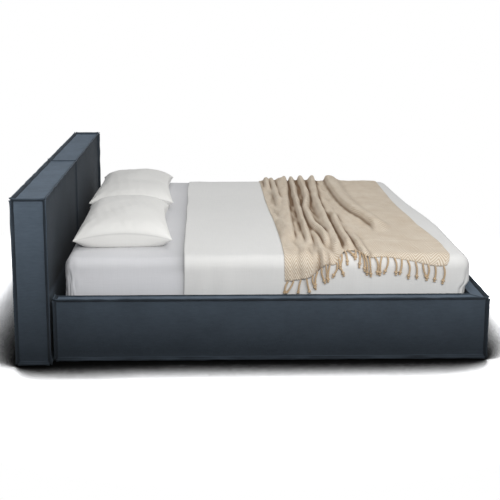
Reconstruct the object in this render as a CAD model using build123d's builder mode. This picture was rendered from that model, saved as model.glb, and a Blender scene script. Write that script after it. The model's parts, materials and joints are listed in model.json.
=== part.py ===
"""Upholstered lift-up storage bed: box frame, storage floor, lift mechanism, slatted platform and bedding.

Frame: origin on the floor under the middle of the bed, +X towards the foot, +Z up.
Left is the -Y side, as seen from the foot. All sizes are millimetres.
"""
from build123d import *
from math import atan2, cos, degrees, hypot, radians, sin
import os

# Overall plan
BED_HALF_LENGTH = 1159.0
HEADBOARD_THICK = 170.0
HEADBOARD_HALF_WIDTH = 1045.0
HEADBOARD_TOP = 840.0
RAIL_THICK = 78.0
RAIL_INNER_Y = 911.0
RAIL_OUTER_Y = RAIL_INNER_Y + RAIL_THICK
RAIL_TOP = 323.0
RAIL_HEAD_END = -977.0
FOOT_INNER_X = BED_HALF_LENGTH - RAIL_THICK
HEADBOARD_FRONT = -BED_HALF_LENGTH + HEADBOARD_THICK
PANEL_FRONT = HEADBOARD_FRONT - 3.0
BODY_BOTTOM = 16.0

# Seam flanges of the upholstery
FLANGE = 7.0
FLANGE_THICK = 3.5
FLANGE_REACH = 6.2
PUFF = 3.0

# Timber cores inside the upholstery
CORE_IN = 5.0
CORE_THICK = 50.0
CORE_TOP = 300.0
CORE_END = 20.0
PANEL_PAD = 16.0
HEADBOARD_CORE_TOP = 815.0
STILE = 60.0

# Storage floor
FLOOR_Z = 40.0
FLOOR_PANEL_THICK = 6.0
BEARER_HEIGHT = 24.0
LEDGER_WIDTH = 24.0
CENTRE_BEARER_WIDTH = 60.0

# Platform frame of rectangular steel tube
TUBE_WIDTH = 40.0
TUBE_HEIGHT = 25.0
TUBE_WALL = 2.0
PLATFORM_Z = 205.0
PLATFORM_TOP = PLATFORM_Z + TUBE_HEIGHT
PLATFORM_HEAD = -934.0
PLATFORM_FOOT = 1056.0
SIDE_TUBE_Y = 871.0
CROSS_TUBE_X = (-300.0, 380.0)

# Sprung slats and their end caps
SLAT_COUNT = 14
SLAT_WIDTH = 53.0
SLAT_THICK = 8.0
SLAT_ARCH = 6.0
SLAT_END_Z = 234.0
SLAT_FIRST_X = -850.0
SLAT_PITCH = 140.0
CAP_TOP = 246.5
CAP_WALL = 3.5
CAP_DEPTH = 32.0

# Bedding
MATTRESS_HEAD = -939.0
MATTRESS_LENGTH = 2000.0
MATTRESS_WIDTH = 1800.0
MATTRESS_Z = 248.0
MATTRESS_TOP = 496.0
MATTRESS_EDGE_CUT = 14.0
SHEET = 2.0
COVER = 6.0
COVER_HEAD = -345.0
COVER_HEM = 264.0
COVER_TOP = MATTRESS_TOP + SHEET + COVER

PILLOW_REST = MATTRESS_TOP + SHEET + 0.3

# Lift linkage, side view: base pivots A and C, platform pivots B and D, strut anchors S and T
PIVOT_A = (-540.0, 130.0)
PIVOT_B = (-766.5, 192.0)
PIVOT_C = (-20.0, 109.463)
PIVOT_D = (-556.5, 172.0)
STRUT_S = (-860.0, 68.0)
STRUT_T_ALONG = 300.0
PIN_R = 6.0
PIN_HOLE_R = 6.05
OPEN_HOLE_R = 6.1
HEAD_R = 10.0
STUB_HEAD_R = 9.0
COLLAR_R = 12.0
LUG_R = 16.0
REAR_ARM_END_R = 17.0
REAR_ARM_HALF = 13.0
FRONT_ARM_END_R = 19.0
FRONT_ARM_HALF = 14.0
STRUT_LUG_R = 20.0
PIN_INNER_HEAD = (895.3, 898.3)
PIN_COLLAR = (903.0, 906.0)
PLATFORM_PIN = (888.0, 905.5)
STUB_HEAD = (887.5, 890.0)
STRUT_STUD = (868.5, 911.0)
STRUT_STUD_HEAD = (868.5, 871.8)
STRUT_STUD_COLLAR = (884.2, 906.0)
BASE_PLATE_FACES = (906.0, 911.0)
ARM_FACES = (898.5, 902.8)
LUG_FACES = (890.0, 895.0)
STRUT_Y = 878.0
STRUT_R = 11.0
ROD_R = 4.0
STRUT_BORE_R = ROD_R + 0.05
EYE_R = 11.0
EYE_HALF = 6.0
EYE_COLLAR_R = EYE_R - 2
STUD_R = 5.0

os.makedirs("parts", exist_ok=True)


def side_plane(y):
    """Sketch plane in side view at the left-hand distance y from the middle, drawn as (x, z)."""
    return Plane.XZ.offset(y)


def mirrored(piece):
    """The right-hand twin of a left-hand piece."""
    with BuildPart() as twin:
        mirror(piece.part, about=Plane.XZ)
    return twin


# Headboard: two upholstered box sections side by side, seam flanges on every edge
def headboard_face(front_crown):
    """Section of a headboard box: front, top and back puffed."""
    back = -BED_HALF_LENGTH + FLANGE_REACH
    top = HEADBOARD_TOP - FLANGE_REACH
    lower = RAIL_TOP + 7
    with BuildLine() as outline:
        Line((back, BODY_BOTTOM), (PANEL_FRONT, BODY_BOTTOM))
        Line((PANEL_FRONT, BODY_BOTTOM), (PANEL_FRONT, lower))
        ThreePointArc((PANEL_FRONT, lower), (PANEL_FRONT + front_crown, 600), (PANEL_FRONT - 3.2, top))
        ThreePointArc((PANEL_FRONT - 3.2, top), ((back + PANEL_FRONT) / 2, top + PUFF), (back, top))
        ThreePointArc((back, top), (back - PUFF, 430), (back, BODY_BOTTOM))
    make_face(outline.edges())


with BuildPart() as headboard_section_left:
    with BuildSketch(side_plane(0)):
        headboard_face(2.0)
        with Locations((PANEL_FRONT - 3.2, HEADBOARD_TOP - FLANGE_REACH)):
            Rectangle(2 * FLANGE, FLANGE_THICK, rotation=45)
        with Locations((-BED_HALF_LENGTH + FLANGE_REACH, HEADBOARD_TOP - FLANGE_REACH)):
            Rectangle(2 * FLANGE, FLANGE_THICK, rotation=135)
    extrude(amount=HEADBOARD_HALF_WIDTH)
    for y in (0, HEADBOARD_HALF_WIDTH - FLANGE_THICK):
        with BuildSketch(side_plane(y)):
            with Locations(((-BED_HALF_LENGTH + HEADBOARD_FRONT) / 2, (BODY_BOTTOM + HEADBOARD_TOP - 1) / 2)):
                Rectangle(HEADBOARD_THICK - 2, HEADBOARD_TOP - 1 - BODY_BOTTOM)
        extrude(amount=FLANGE_THICK)
    with BuildSketch(side_plane(CORE_END)):
        with Locations(((-BED_HALF_LENGTH + HEADBOARD_FRONT) / 2, HEADBOARD_CORE_TOP / 2)):
            Rectangle(HEADBOARD_THICK - 2 * PANEL_PAD - 6, HEADBOARD_CORE_TOP)
    extrude(amount=HEADBOARD_HALF_WIDTH - 2 * CORE_END, mode=Mode.SUBTRACT)
headboard_section_right = mirrored(headboard_section_left)

with BuildPart() as headboard_core_left:
    with BuildSketch(side_plane(CORE_END)):
        with Locations(((-BED_HALF_LENGTH + HEADBOARD_FRONT) / 2, (BODY_BOTTOM + HEADBOARD_CORE_TOP) / 2)):
            Rectangle(HEADBOARD_THICK - 2 * PANEL_PAD - 6, HEADBOARD_CORE_TOP - BODY_BOTTOM)
    extrude(amount=HEADBOARD_HALF_WIDTH - 2 * CORE_END)
    bay = (HEADBOARD_HALF_WIDTH - 2 * CORE_END - 3 * STILE) / 2
    with BuildSketch(Plane.YZ.offset(-BED_HALF_LENGTH)):
        for centre in (-CORE_END - STILE - bay / 2, -CORE_END - 2 * STILE - 1.5 * bay):
            with Locations((centre, (RAIL_TOP + HEADBOARD_CORE_TOP) / 2)):
                Rectangle(bay, HEADBOARD_CORE_TOP - RAIL_TOP - 2 * STILE)
            with Locations((centre, (BODY_BOTTOM + RAIL_TOP) / 2)):
                Rectangle(bay, RAIL_TOP - BODY_BOTTOM - 2 * STILE)
    extrude(amount=HEADBOARD_THICK, mode=Mode.SUBTRACT)
headboard_core_right = mirrored(headboard_core_left)

JOINING_PLATE = (70.0, 130.0)
JOINING_PLATE_THICK = 4.0
with BuildPart() as headboard_joining_plate:
    with BuildSketch(Plane.XY.offset(BODY_BOTTOM - JOINING_PLATE_THICK)):
        with Locations(((-BED_HALF_LENGTH + HEADBOARD_FRONT) / 2, 0)):
            Rectangle(*JOINING_PLATE)
    extrude(amount=JOINING_PLATE_THICK)


# Side and foot rails: padded box sections over a timber board, mitred at the foot
def rail_profile(inner, outer):
    """Half-open section of a rail in the plane's own coordinates, outer face and top puffed."""
    way = 1 if outer > inner else -1
    edge = outer - way * FLANGE_REACH
    top = RAIL_TOP - FLANGE_REACH
    with BuildLine() as outline:
        Line((inner, top), (inner, BODY_BOTTOM))
        Line((inner, BODY_BOTTOM), (edge, BODY_BOTTOM))
        ThreePointArc((edge, BODY_BOTTOM), (edge + way * PUFF, (BODY_BOTTOM + top) / 2), (edge, top))
        ThreePointArc((edge, top), ((inner + edge) / 2, top + PUFF), (inner, top))
    make_face(outline.edges())
    with Locations((edge, top)):
        Rectangle(2 * FLANGE, FLANGE_THICK, rotation=45 * way)
    with Locations((edge, BODY_BOTTOM + 1)):
        Rectangle(2 * FLANGE, FLANGE_THICK, rotation=-45 * way)
    with Locations((inner + way * FLANGE_THICK / 2, top)):
        Rectangle(FLANGE_THICK, 2 * FLANGE_REACH)


MITRE_LEFT = Plane(origin=(FOOT_INNER_X, -RAIL_INNER_Y, 0), x_dir=(0, 0, 1), z_dir=(-1, -1, 0))
MITRE_RIGHT = Plane(origin=(FOOT_INNER_X, RAIL_INNER_Y, 0), x_dir=(0, 0, 1), z_dir=(-1, 1, 0))
CORNER_FLANGE_HEIGHT = RAIL_TOP - FLANGE_REACH - BODY_BOTTOM

with BuildPart() as side_rail_left:
    with BuildSketch(Plane.YZ.offset(RAIL_HEAD_END)):
        rail_profile(-RAIL_INNER_Y, -RAIL_OUTER_Y)
    extrude(amount=BED_HALF_LENGTH - RAIL_HEAD_END)
    with BuildSketch(Plane.YZ.offset(RAIL_HEAD_END)):
        with Locations((-(RAIL_INNER_Y + RAIL_OUTER_Y - 2) / 2, (BODY_BOTTOM + RAIL_TOP - 1) / 2)):
            Rectangle(RAIL_THICK - 2, RAIL_TOP - 1 - BODY_BOTTOM)
    extrude(amount=FLANGE_THICK)
    with BuildSketch(Plane.XY.offset(BODY_BOTTOM)):
        with Locations((BED_HALF_LENGTH - FLANGE_REACH, -RAIL_OUTER_Y + FLANGE_REACH)):
            Rectangle(2 * FLANGE, FLANGE_THICK, rotation=-45)
    extrude(amount=CORNER_FLANGE_HEIGHT)
    split(bisect_by=MITRE_LEFT, keep=Keep.TOP)
    with BuildSketch(Plane.YZ.offset(RAIL_HEAD_END + CORE_END)):
        with Locations((-RAIL_INNER_Y - CORE_IN - CORE_THICK / 2, CORE_TOP / 2)):
            Rectangle(CORE_THICK, CORE_TOP)
    extrude(amount=FOOT_INNER_X - RAIL_HEAD_END - 2 * CORE_END, mode=Mode.SUBTRACT)
side_rail_right = mirrored(side_rail_left)

with BuildPart() as foot_rail:
    with BuildSketch(side_plane(-RAIL_OUTER_Y)):
        rail_profile(FOOT_INNER_X, BED_HALF_LENGTH)
    extrude(amount=2 * RAIL_OUTER_Y)
    with BuildSketch(Plane.XY.offset(BODY_BOTTOM)):
        for sign in (-1, 1):
            with Locations((BED_HALF_LENGTH - FLANGE_REACH, sign * (RAIL_OUTER_Y - FLANGE_REACH))):
                Rectangle(2 * FLANGE, FLANGE_THICK, rotation=45 * sign)
    extrude(amount=CORNER_FLANGE_HEIGHT)
    split(bisect_by=MITRE_LEFT, keep=Keep.BOTTOM)
    split(bisect_by=MITRE_RIGHT, keep=Keep.BOTTOM)
    with BuildSketch(side_plane(-RAIL_INNER_Y + CORE_END)):
        with Locations((FOOT_INNER_X + CORE_IN + CORE_THICK / 2, CORE_TOP / 2)):
            Rectangle(CORE_THICK, CORE_TOP)
    extrude(amount=2 * (RAIL_INNER_Y - CORE_END), mode=Mode.SUBTRACT)

with BuildPart() as side_rail_core_left:
    with BuildSketch(Plane.YZ.offset(RAIL_HEAD_END + CORE_END)):
        with Locations((-RAIL_INNER_Y - CORE_IN - CORE_THICK / 2, (BODY_BOTTOM + CORE_TOP) / 2)):
            Rectangle(CORE_THICK, CORE_TOP - BODY_BOTTOM)
    extrude(amount=FOOT_INNER_X - RAIL_HEAD_END - 2 * CORE_END)
side_rail_core_right = mirrored(side_rail_core_left)

with BuildPart() as foot_rail_core:
    with BuildSketch(side_plane(-RAIL_INNER_Y + CORE_END)):
        with Locations((FOOT_INNER_X + CORE_IN + CORE_THICK / 2, (BODY_BOTTOM + CORE_TOP) / 2)):
            Rectangle(CORE_THICK, CORE_TOP - BODY_BOTTOM)
    extrude(amount=2 * (RAIL_INNER_Y - CORE_END))

# Angle brackets that tie the rails to the headboard and to each other
BRACKET_THICK = 4.0
BRACKET_Z = 60.0
HEAD_BRACKET_HEIGHT = 170.0
HEAD_BRACKET_REACH = 92.0
HEAD_BRACKET_WIDTH = 61.0
HEAD_BRACKET_ROUND = 25.0
FOOT_BRACKET_HEIGHT = 80.0
FOOT_BRACKET_REACH = 60.0
with BuildPart() as headboard_bracket_left:
    with BuildSketch(Plane.XY.offset(BRACKET_Z)):
        with BuildLine():
            Polyline(
                (PANEL_FRONT, -RAIL_INNER_Y),
                (PANEL_FRONT + HEAD_BRACKET_REACH, -RAIL_INNER_Y),
                (PANEL_FRONT + HEAD_BRACKET_REACH, -RAIL_INNER_Y + BRACKET_THICK),
                (PANEL_FRONT + BRACKET_THICK, -RAIL_INNER_Y + BRACKET_THICK),
                (PANEL_FRONT + BRACKET_THICK, -RAIL_INNER_Y + HEAD_BRACKET_WIDTH),
                (PANEL_FRONT, -RAIL_INNER_Y + HEAD_BRACKET_WIDTH),
                close=True,
            )
        make_face()
    extrude(amount=HEAD_BRACKET_HEIGHT)
    ends = headboard_bracket_left.edges().filter_by(Axis.Y).sort_by(Axis.X)[-2:]
    chamfer(ends, HEAD_BRACKET_ROUND)
headboard_bracket_right = mirrored(headboard_bracket_left)

with BuildPart() as foot_bracket_left:
    with BuildSketch(Plane.XY.offset(BRACKET_Z)):
        with BuildLine():
            Polyline(
                (FOOT_INNER_X, -RAIL_INNER_Y),
                (FOOT_INNER_X, -RAIL_INNER_Y + FOOT_BRACKET_REACH),
                (FOOT_INNER_X - BRACKET_THICK, -RAIL_INNER_Y + FOOT_BRACKET_REACH),
                (FOOT_INNER_X - BRACKET_THICK, -RAIL_INNER_Y + BRACKET_THICK),
                (FOOT_INNER_X - FOOT_BRACKET_REACH, -RAIL_INNER_Y + BRACKET_THICK),
                (FOOT_INNER_X - FOOT_BRACKET_REACH, -RAIL_INNER_Y),
                close=True,
            )
        make_face()
    extrude(amount=FOOT_BRACKET_HEIGHT)
foot_bracket_right = mirrored(foot_bracket_left)

# Storage floor: four hardboard panels on timber bearers
PANEL_JOINT_X = 46.0
PANEL_GAP = 1.0


def floor_panel(x0, x1):
    with BuildPart() as panel:
        with BuildSketch(Plane.XY.offset(FLOOR_Z)):
            with Locations(((x0 + x1) / 2, -(RAIL_INNER_Y - 1) / 2 - PANEL_GAP / 4)):
                Rectangle(x1 - x0, RAIL_INNER_Y - 1 - PANEL_GAP / 2)
        extrude(amount=FLOOR_PANEL_THICK)
    return panel


floor_panel_head_left = floor_panel(HEADBOARD_FRONT + 1, PANEL_JOINT_X - PANEL_GAP / 2)
floor_panel_foot_left = floor_panel(PANEL_JOINT_X + PANEL_GAP / 2, FOOT_INNER_X - 1)
floor_panel_head_right = mirrored(floor_panel_head_left)
floor_panel_foot_right = mirrored(floor_panel_foot_left)

with BuildPart() as floor_ledger_left:
    with BuildSketch(Plane.YZ.offset(RAIL_HEAD_END + 5)):
        with BuildLine():
            Polyline(
                (-RAIL_INNER_Y, FLOOR_Z - BEARER_HEIGHT + 2),
                (-RAIL_INNER_Y + LEDGER_WIDTH - 8, FLOOR_Z - BEARER_HEIGHT + 2),
                (-RAIL_INNER_Y + LEDGER_WIDTH, FLOOR_Z - BEARER_HEIGHT + 10),
                (-RAIL_INNER_Y + LEDGER_WIDTH, FLOOR_Z),
                (-RAIL_INNER_Y, FLOOR_Z),
                close=True,
            )
        make_face()
    extrude(amount=FOOT_INNER_X - RAIL_HEAD_END - 10)
floor_ledger_right = mirrored(floor_ledger_left)

BEARER_FIT = 0.5
with BuildPart() as floor_bearers:
    with BuildSketch(Plane.XY.offset(FLOOR_Z - BEARER_HEIGHT)):
        with Locations(((PANEL_FRONT + FOOT_INNER_X) / 2, 0)):
            Rectangle(FOOT_INNER_X - PANEL_FRONT - 4, CENTRE_BEARER_WIDTH)
        for sign in (-1, 1):
            inner = CENTRE_BEARER_WIDTH / 2 + BEARER_FIT
            outer = RAIL_INNER_Y - LEDGER_WIDTH
            with Locations((PANEL_JOINT_X, sign * (inner + outer) / 2)):
                Rectangle(CENTRE_BEARER_WIDTH, outer - inner)
    extrude(amount=BEARER_HEIGHT)

FOOT_LEDGER_SIZE = 40.0
FOOT_LEDGER_TOP = 200.0
FOOT_LEDGER_HALF = 850.0
with BuildPart() as foot_ledger:
    with BuildSketch(side_plane(-FOOT_LEDGER_HALF)):
        with Locations((FOOT_INNER_X - FOOT_LEDGER_SIZE / 2, FOOT_LEDGER_TOP - FOOT_LEDGER_SIZE / 2)):
            Rectangle(FOOT_LEDGER_SIZE, FOOT_LEDGER_SIZE)
    extrude(amount=2 * FOOT_LEDGER_HALF)
    chamfer(foot_ledger.edges().filter_by(Axis.Y).group_by(Axis.X)[0], 4)

STOP_R = 12.0
STOP_X = FOOT_INNER_X - 28
STOP_Y = 620.0
STOP_CLEAR = 0.3
with BuildPart() as rubber_stops:
    with BuildSketch(Plane.XY.offset(FOOT_LEDGER_TOP)):
        with Locations((STOP_X, -STOP_Y), (STOP_X, STOP_Y)):
            RegularPolygon(STOP_R, 8)
    extrude(amount=PLATFORM_Z - FOOT_LEDGER_TOP - STOP_CLEAR, taper=12)

GLIDE_SIZE = (46.0, 26.0)
GLIDE_SPOTS = [(x, sign * (RAIL_INNER_Y + CORE_IN + CORE_THICK / 2)) for x in (-880, 40, 960) for sign in (-1, 1)]
GLIDE_SPOTS += [(FOOT_INNER_X + CORE_IN + CORE_THICK / 2, y) for y in (-640, 0, 640)]
GLIDE_SPOTS += [((-BED_HALF_LENGTH + HEADBOARD_FRONT) / 2, y) for y in (-955, -150, 150, 955)]
GLIDE_SPOTS += [(x, 0) for x in (-700, -120, 560)]
with BuildPart() as glides:
    for spot in GLIDE_SPOTS:
        with BuildSketch(Plane.XY):
            with Locations(spot):
                Rectangle(*GLIDE_SIZE)
        extrude(amount=BODY_BOTTOM, taper=-12)

# Platform frame
def tube_section(width, height):
    Rectangle(width, height)
    Rectangle(width - 2 * TUBE_WALL, height - 2 * TUBE_WALL, mode=Mode.SUBTRACT)


TUBE_MID_Z = PLATFORM_Z + TUBE_HEIGHT / 2
with BuildPart() as side_tube_left:
    with BuildSketch(Plane.YZ.offset(PLATFORM_HEAD)):
        with Locations((-SIDE_TUBE_Y, TUBE_MID_Z)):
            tube_section(TUBE_WIDTH, TUBE_HEIGHT)
    extrude(amount=PLATFORM_FOOT - PLATFORM_HEAD)
side_tube_right = mirrored(side_tube_left)

INNER_SPAN = SIDE_TUBE_Y - TUBE_WIDTH / 2
with BuildPart() as head_tube:
    with BuildSketch(side_plane(-INNER_SPAN)):
        with Locations((PLATFORM_HEAD + TUBE_WIDTH / 2, TUBE_MID_Z)):
            tube_section(TUBE_WIDTH, TUBE_HEIGHT)
    extrude(amount=2 * INNER_SPAN)

with BuildPart() as foot_tube:
    with BuildSketch(side_plane(-INNER_SPAN)):
        with Locations((PLATFORM_FOOT - TUBE_WIDTH / 2, TUBE_MID_Z)):
            tube_section(TUBE_WIDTH, TUBE_HEIGHT)
    extrude(amount=2 * INNER_SPAN)

with BuildPart() as centre_tube:
    with BuildSketch(Plane.YZ.offset(PLATFORM_HEAD + TUBE_WIDTH)):
        with Locations((0, TUBE_MID_Z)):
            tube_section(TUBE_WIDTH, TUBE_HEIGHT)
    extrude(amount=PLATFORM_FOOT - PLATFORM_HEAD - 2 * TUBE_WIDTH)

with BuildPart() as cross_tubes:
    for start in (TUBE_WIDTH / 2, -INNER_SPAN):
        with BuildSketch(side_plane(start)):
            with Locations(*[(x, TUBE_MID_Z) for x in CROSS_TUBE_X]):
                tube_section(TUBE_WIDTH, TUBE_HEIGHT)
        extrude(amount=INNER_SPAN - TUBE_WIDTH / 2)


# Slats: two banks of bent battens, held in pocketed caps on the tubes
SLAT_OUTER_END = SIDE_TUBE_Y + 12
SLAT_INNER_END = 4.0
SLATS_X = [SLAT_FIRST_X + SLAT_PITCH * n for n in range(SLAT_COUNT)]

with BuildPart() as slats_left:
    middle = -(SLAT_OUTER_END + SLAT_INNER_END) / 2
    for x in SLATS_X:
        with BuildSketch(Plane.YZ.offset(x - SLAT_WIDTH / 2)):
            with BuildLine():
                Line((-SLAT_OUTER_END, SLAT_END_Z), (-SLAT_OUTER_END, SLAT_END_Z + SLAT_THICK))
                ThreePointArc(
                    (-SLAT_OUTER_END, SLAT_END_Z + SLAT_THICK),
                    (middle, MATTRESS_Z),
                    (-SLAT_INNER_END, SLAT_END_Z + SLAT_THICK),
                )
                Line((-SLAT_INNER_END, SLAT_END_Z + SLAT_THICK), (-SLAT_INNER_END, SLAT_END_Z))
                ThreePointArc(
                    (-SLAT_INNER_END, SLAT_END_Z),
                    (middle, SLAT_END_Z + SLAT_ARCH),
                    (-SLAT_OUTER_END, SLAT_END_Z),
                )
            make_face()
        extrude(amount=SLAT_WIDTH)
slats_right = mirrored(slats_left)

POCKET = SLAT_THICK + 2.4
POCKET_FIT = 0.4
POCKET_MID_Z = SLAT_END_Z + POCKET / 2
CAP_WEB = 3.7
with BuildPart() as slat_caps_left:
    with BuildSketch(Plane.XY.offset(PLATFORM_TOP)):
        with Locations(*[(x, -SIDE_TUBE_Y) for x in SLATS_X]):
            Rectangle(SLAT_WIDTH + 2 * CAP_WALL, TUBE_WIDTH - 6)
    extrude(amount=CAP_TOP - PLATFORM_TOP)
    with BuildSketch(side_plane(SLAT_OUTER_END + POCKET_FIT)):
        with Locations(*[(x, POCKET_MID_Z) for x in SLATS_X]):
            Rectangle(SLAT_WIDTH + POCKET_FIT, POCKET)
    extrude(amount=-TUBE_WIDTH, mode=Mode.SUBTRACT)
slat_caps_right = mirrored(slat_caps_left)

with BuildPart() as slat_caps_centre:
    with BuildSketch(Plane.XY.offset(PLATFORM_TOP)):
        with Locations(*[(x, 0) for x in SLATS_X]):
            Rectangle(SLAT_WIDTH + 2 * CAP_WALL, 2 * CAP_DEPTH)
    extrude(amount=CAP_TOP - PLATFORM_TOP)
    for way in (1, -1):
        with BuildSketch(side_plane(way * CAP_WEB)):
            with Locations(*[(x, POCKET_MID_Z) for x in SLATS_X]):
                Rectangle(SLAT_WIDTH + POCKET_FIT, POCKET)
        extrude(amount=way * TUBE_WIDTH, mode=Mode.SUBTRACT)


# Lift mechanism, left side. Every plate is drawn in side view.
FRONT_LENGTH = hypot(PIVOT_D[0] - PIVOT_C[0], PIVOT_D[1] - PIVOT_C[1])
FRONT_UNIT = ((PIVOT_D[0] - PIVOT_C[0]) / FRONT_LENGTH, (PIVOT_D[1] - PIVOT_C[1]) / FRONT_LENGTH)
STRUT_T = (
    PIVOT_C[0] + FRONT_UNIT[0] * STRUT_T_ALONG,
    PIVOT_C[1] + FRONT_UNIT[1] * STRUT_T_ALONG,
)

PLATE_SLOTS = ((-700.0, 92.0), (-280.0, 108.0))
PLATE_SLOT_SIZE = (120.0, 14.0)
with BuildPart() as lift_base_plate_left:
    with BuildSketch(side_plane(BASE_PLATE_FACES[0])):
        for centre, radius in ((STRUT_S, 17), (PIVOT_A, 18), (PIVOT_C, 24)):
            with Locations(centre):
                Circle(radius)
        make_hull()
        with Locations(PIVOT_A, PIVOT_C):
            Circle(PIN_R, mode=Mode.SUBTRACT)
        with Locations(STRUT_S):
            Circle(STUD_R, mode=Mode.SUBTRACT)
        with Locations(*PLATE_SLOTS):
            SlotOverall(*PLATE_SLOT_SIZE, mode=Mode.SUBTRACT)
    extrude(amount=BASE_PLATE_FACES[1] - BASE_PLATE_FACES[0])
lift_base_plate_right = mirrored(lift_base_plate_left)



def round_pin(centre, radius, faces):
    """Round shank between two side distances, added to the piece being built."""
    with BuildSketch(side_plane(faces[0])) as section:
        with Locations(centre):
            Circle(radius)
    extrude(section.sketch, amount=faces[1] - faces[0])


def hexagon_head(centre, radius, faces):
    """Six-sided head or collar between two side distances, added to the piece being built."""
    with BuildSketch(side_plane(faces[0])) as section:
        with Locations(centre):
            RegularPolygon(radius, 6)
    extrude(section.sketch, amount=faces[1] - faces[0])


# Base pins: shank in the plate, collar, bearing for the arm, inner head
with BuildPart() as base_pivots_left:
    for centre in (PIVOT_A, PIVOT_C):
        round_pin(centre, PIN_R, (PIN_INNER_HEAD[0], BASE_PLATE_FACES[1]))
        hexagon_head(centre, COLLAR_R, PIN_COLLAR)
        hexagon_head(centre, HEAD_R, PIN_INNER_HEAD)
    round_pin(STRUT_S, STUD_R, STRUT_STUD)
    hexagon_head(STRUT_S, EYE_COLLAR_R, STRUT_STUD_COLLAR)
    hexagon_head(STRUT_S, EYE_COLLAR_R, STRUT_STUD_HEAD)
base_pivots_right = mirrored(base_pivots_left)


# Angle under the side tube with two lugs: the rear lug carries the arm pin, the front lug a stub
BRACKET_MID_X = (PIVOT_B[0] + PIVOT_D[0]) / 2
BRACKET_LENGTH = PIVOT_D[0] - PIVOT_B[0] + 90
BRACKET_WALL = 4.0
BRACKET_DROP = 16.0
GUSSET_WIDTH = 70.0
TUBE_INNER_FACE = SIDE_TUBE_Y - TUBE_WIDTH / 2
with BuildPart() as lift_bracket_left:
    with BuildSketch(side_plane(LUG_FACES[0])):
        with Locations((BRACKET_MID_X, PLATFORM_Z - BRACKET_DROP / 2)):
            Rectangle(BRACKET_LENGTH, BRACKET_DROP)
        with Locations(PIVOT_B, PIVOT_D):
            Circle(LUG_R)
        with Locations((PIVOT_D[0], (PLATFORM_Z + PIVOT_D[1]) / 2)):
            Trapezoid(GUSSET_WIDTH, PLATFORM_Z - PIVOT_D[1], 66, rotation=180)
        with Locations((BRACKET_MID_X, PLATFORM_Z + LUG_R)):
            Rectangle(BRACKET_LENGTH, 2 * LUG_R, mode=Mode.SUBTRACT)
    extrude(amount=LUG_FACES[1] - LUG_FACES[0])
    with BuildSketch(side_plane(TUBE_INNER_FACE)):
        with Locations((BRACKET_MID_X, PLATFORM_Z - BRACKET_WALL / 2)):
            Rectangle(BRACKET_LENGTH, BRACKET_WALL)
    extrude(amount=LUG_FACES[1] - TUBE_INNER_FACE)
    round_pin(PIVOT_B, PIN_R, PLATFORM_PIN)
    hexagon_head(PIVOT_B, STUB_HEAD_R, STUB_HEAD)
    hexagon_head(PIVOT_B, HEAD_R, (LUG_FACES[1], PIN_INNER_HEAD[1]))
    hexagon_head(PIVOT_B, HEAD_R, (PIN_COLLAR[0], PLATFORM_PIN[1]))
    hexagon_head(PIVOT_D, STUB_HEAD_R, STUB_HEAD)
    hexagon_head(PIVOT_D, HEAD_R, (LUG_FACES[1], ARM_FACES[0] - 0.3))
lift_bracket_right = mirrored(lift_bracket_left)


def arm_plate(start, end, start_radius, end_radius, waist):
    """Flat bar between two round ends."""
    angle = degrees(atan2(end[1] - start[1], end[0] - start[0]))
    length = hypot(end[0] - start[0], end[1] - start[1])
    middle = ((start[0] + end[0]) / 2, (start[1] + end[1]) / 2)
    for centre, radius in ((start, start_radius), (end, end_radius)):
        with Locations(centre):
            Circle(radius)
    with Locations(middle):
        Rectangle(length, 2 * waist, rotation=angle)


def rear_arm(hole_at_b):
    with BuildPart() as arm:
        with BuildSketch(side_plane(ARM_FACES[0])):
            arm_plate(PIVOT_A, PIVOT_B, REAR_ARM_END_R, REAR_ARM_END_R, REAR_ARM_HALF)
            with Locations(PIVOT_A):
                Circle(PIN_HOLE_R, mode=Mode.SUBTRACT)
            with Locations(PIVOT_B):
                Circle(hole_at_b, mode=Mode.SUBTRACT)
        extrude(amount=ARM_FACES[1] - ARM_FACES[0])
    return arm


rear_arm_left = rear_arm(PIN_HOLE_R)
rear_arm_right = mirrored(rear_arm(OPEN_HOLE_R))

with BuildPart() as front_arm_left:
    with BuildSketch(side_plane(ARM_FACES[0])):
        arm_plate(PIVOT_C, PIVOT_D, FRONT_ARM_END_R, REAR_ARM_END_R, FRONT_ARM_HALF)
        with Locations(STRUT_T):
            Circle(STRUT_LUG_R)
        with Locations(PIVOT_C):
            Circle(PIN_HOLE_R, mode=Mode.SUBTRACT)
    extrude(amount=ARM_FACES[1] - ARM_FACES[0])
    hexagon_head(PIVOT_D, HEAD_R, (ARM_FACES[1], ARM_FACES[1] + 2.5))
    hexagon_head(STRUT_T, EYE_COLLAR_R, (STRUT_Y + EYE_HALF + 0.3, ARM_FACES[0]))
front_arm_right = mirrored(front_arm_left)

# Gas struts: cylinder with an eye at S, rod with an eye at T
STRUT_REST = hypot(STRUT_T[0] - STRUT_S[0], STRUT_T[1] - STRUT_S[1])
STRUT_UNIT = ((STRUT_T[0] - STRUT_S[0]) / STRUT_REST, (STRUT_T[1] - STRUT_S[1]) / STRUT_REST)
STRUT_PLANE = Plane(
    origin=(STRUT_S[0], -STRUT_Y, STRUT_S[1]),
    x_dir=(STRUT_UNIT[0], 0, STRUT_UNIT[1]),
    z_dir=(0, -1, 0),
)
ROD_SHOWN = 62.0
ROD_INSIDE = 170.0
CYLINDER_END = STRUT_REST - ROD_SHOWN
ROD_START = CYLINDER_END - ROD_INSIDE
NECK_R = 7.0
SHOULDER_AT = 26.0
BORE_AT = 32.0

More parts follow.
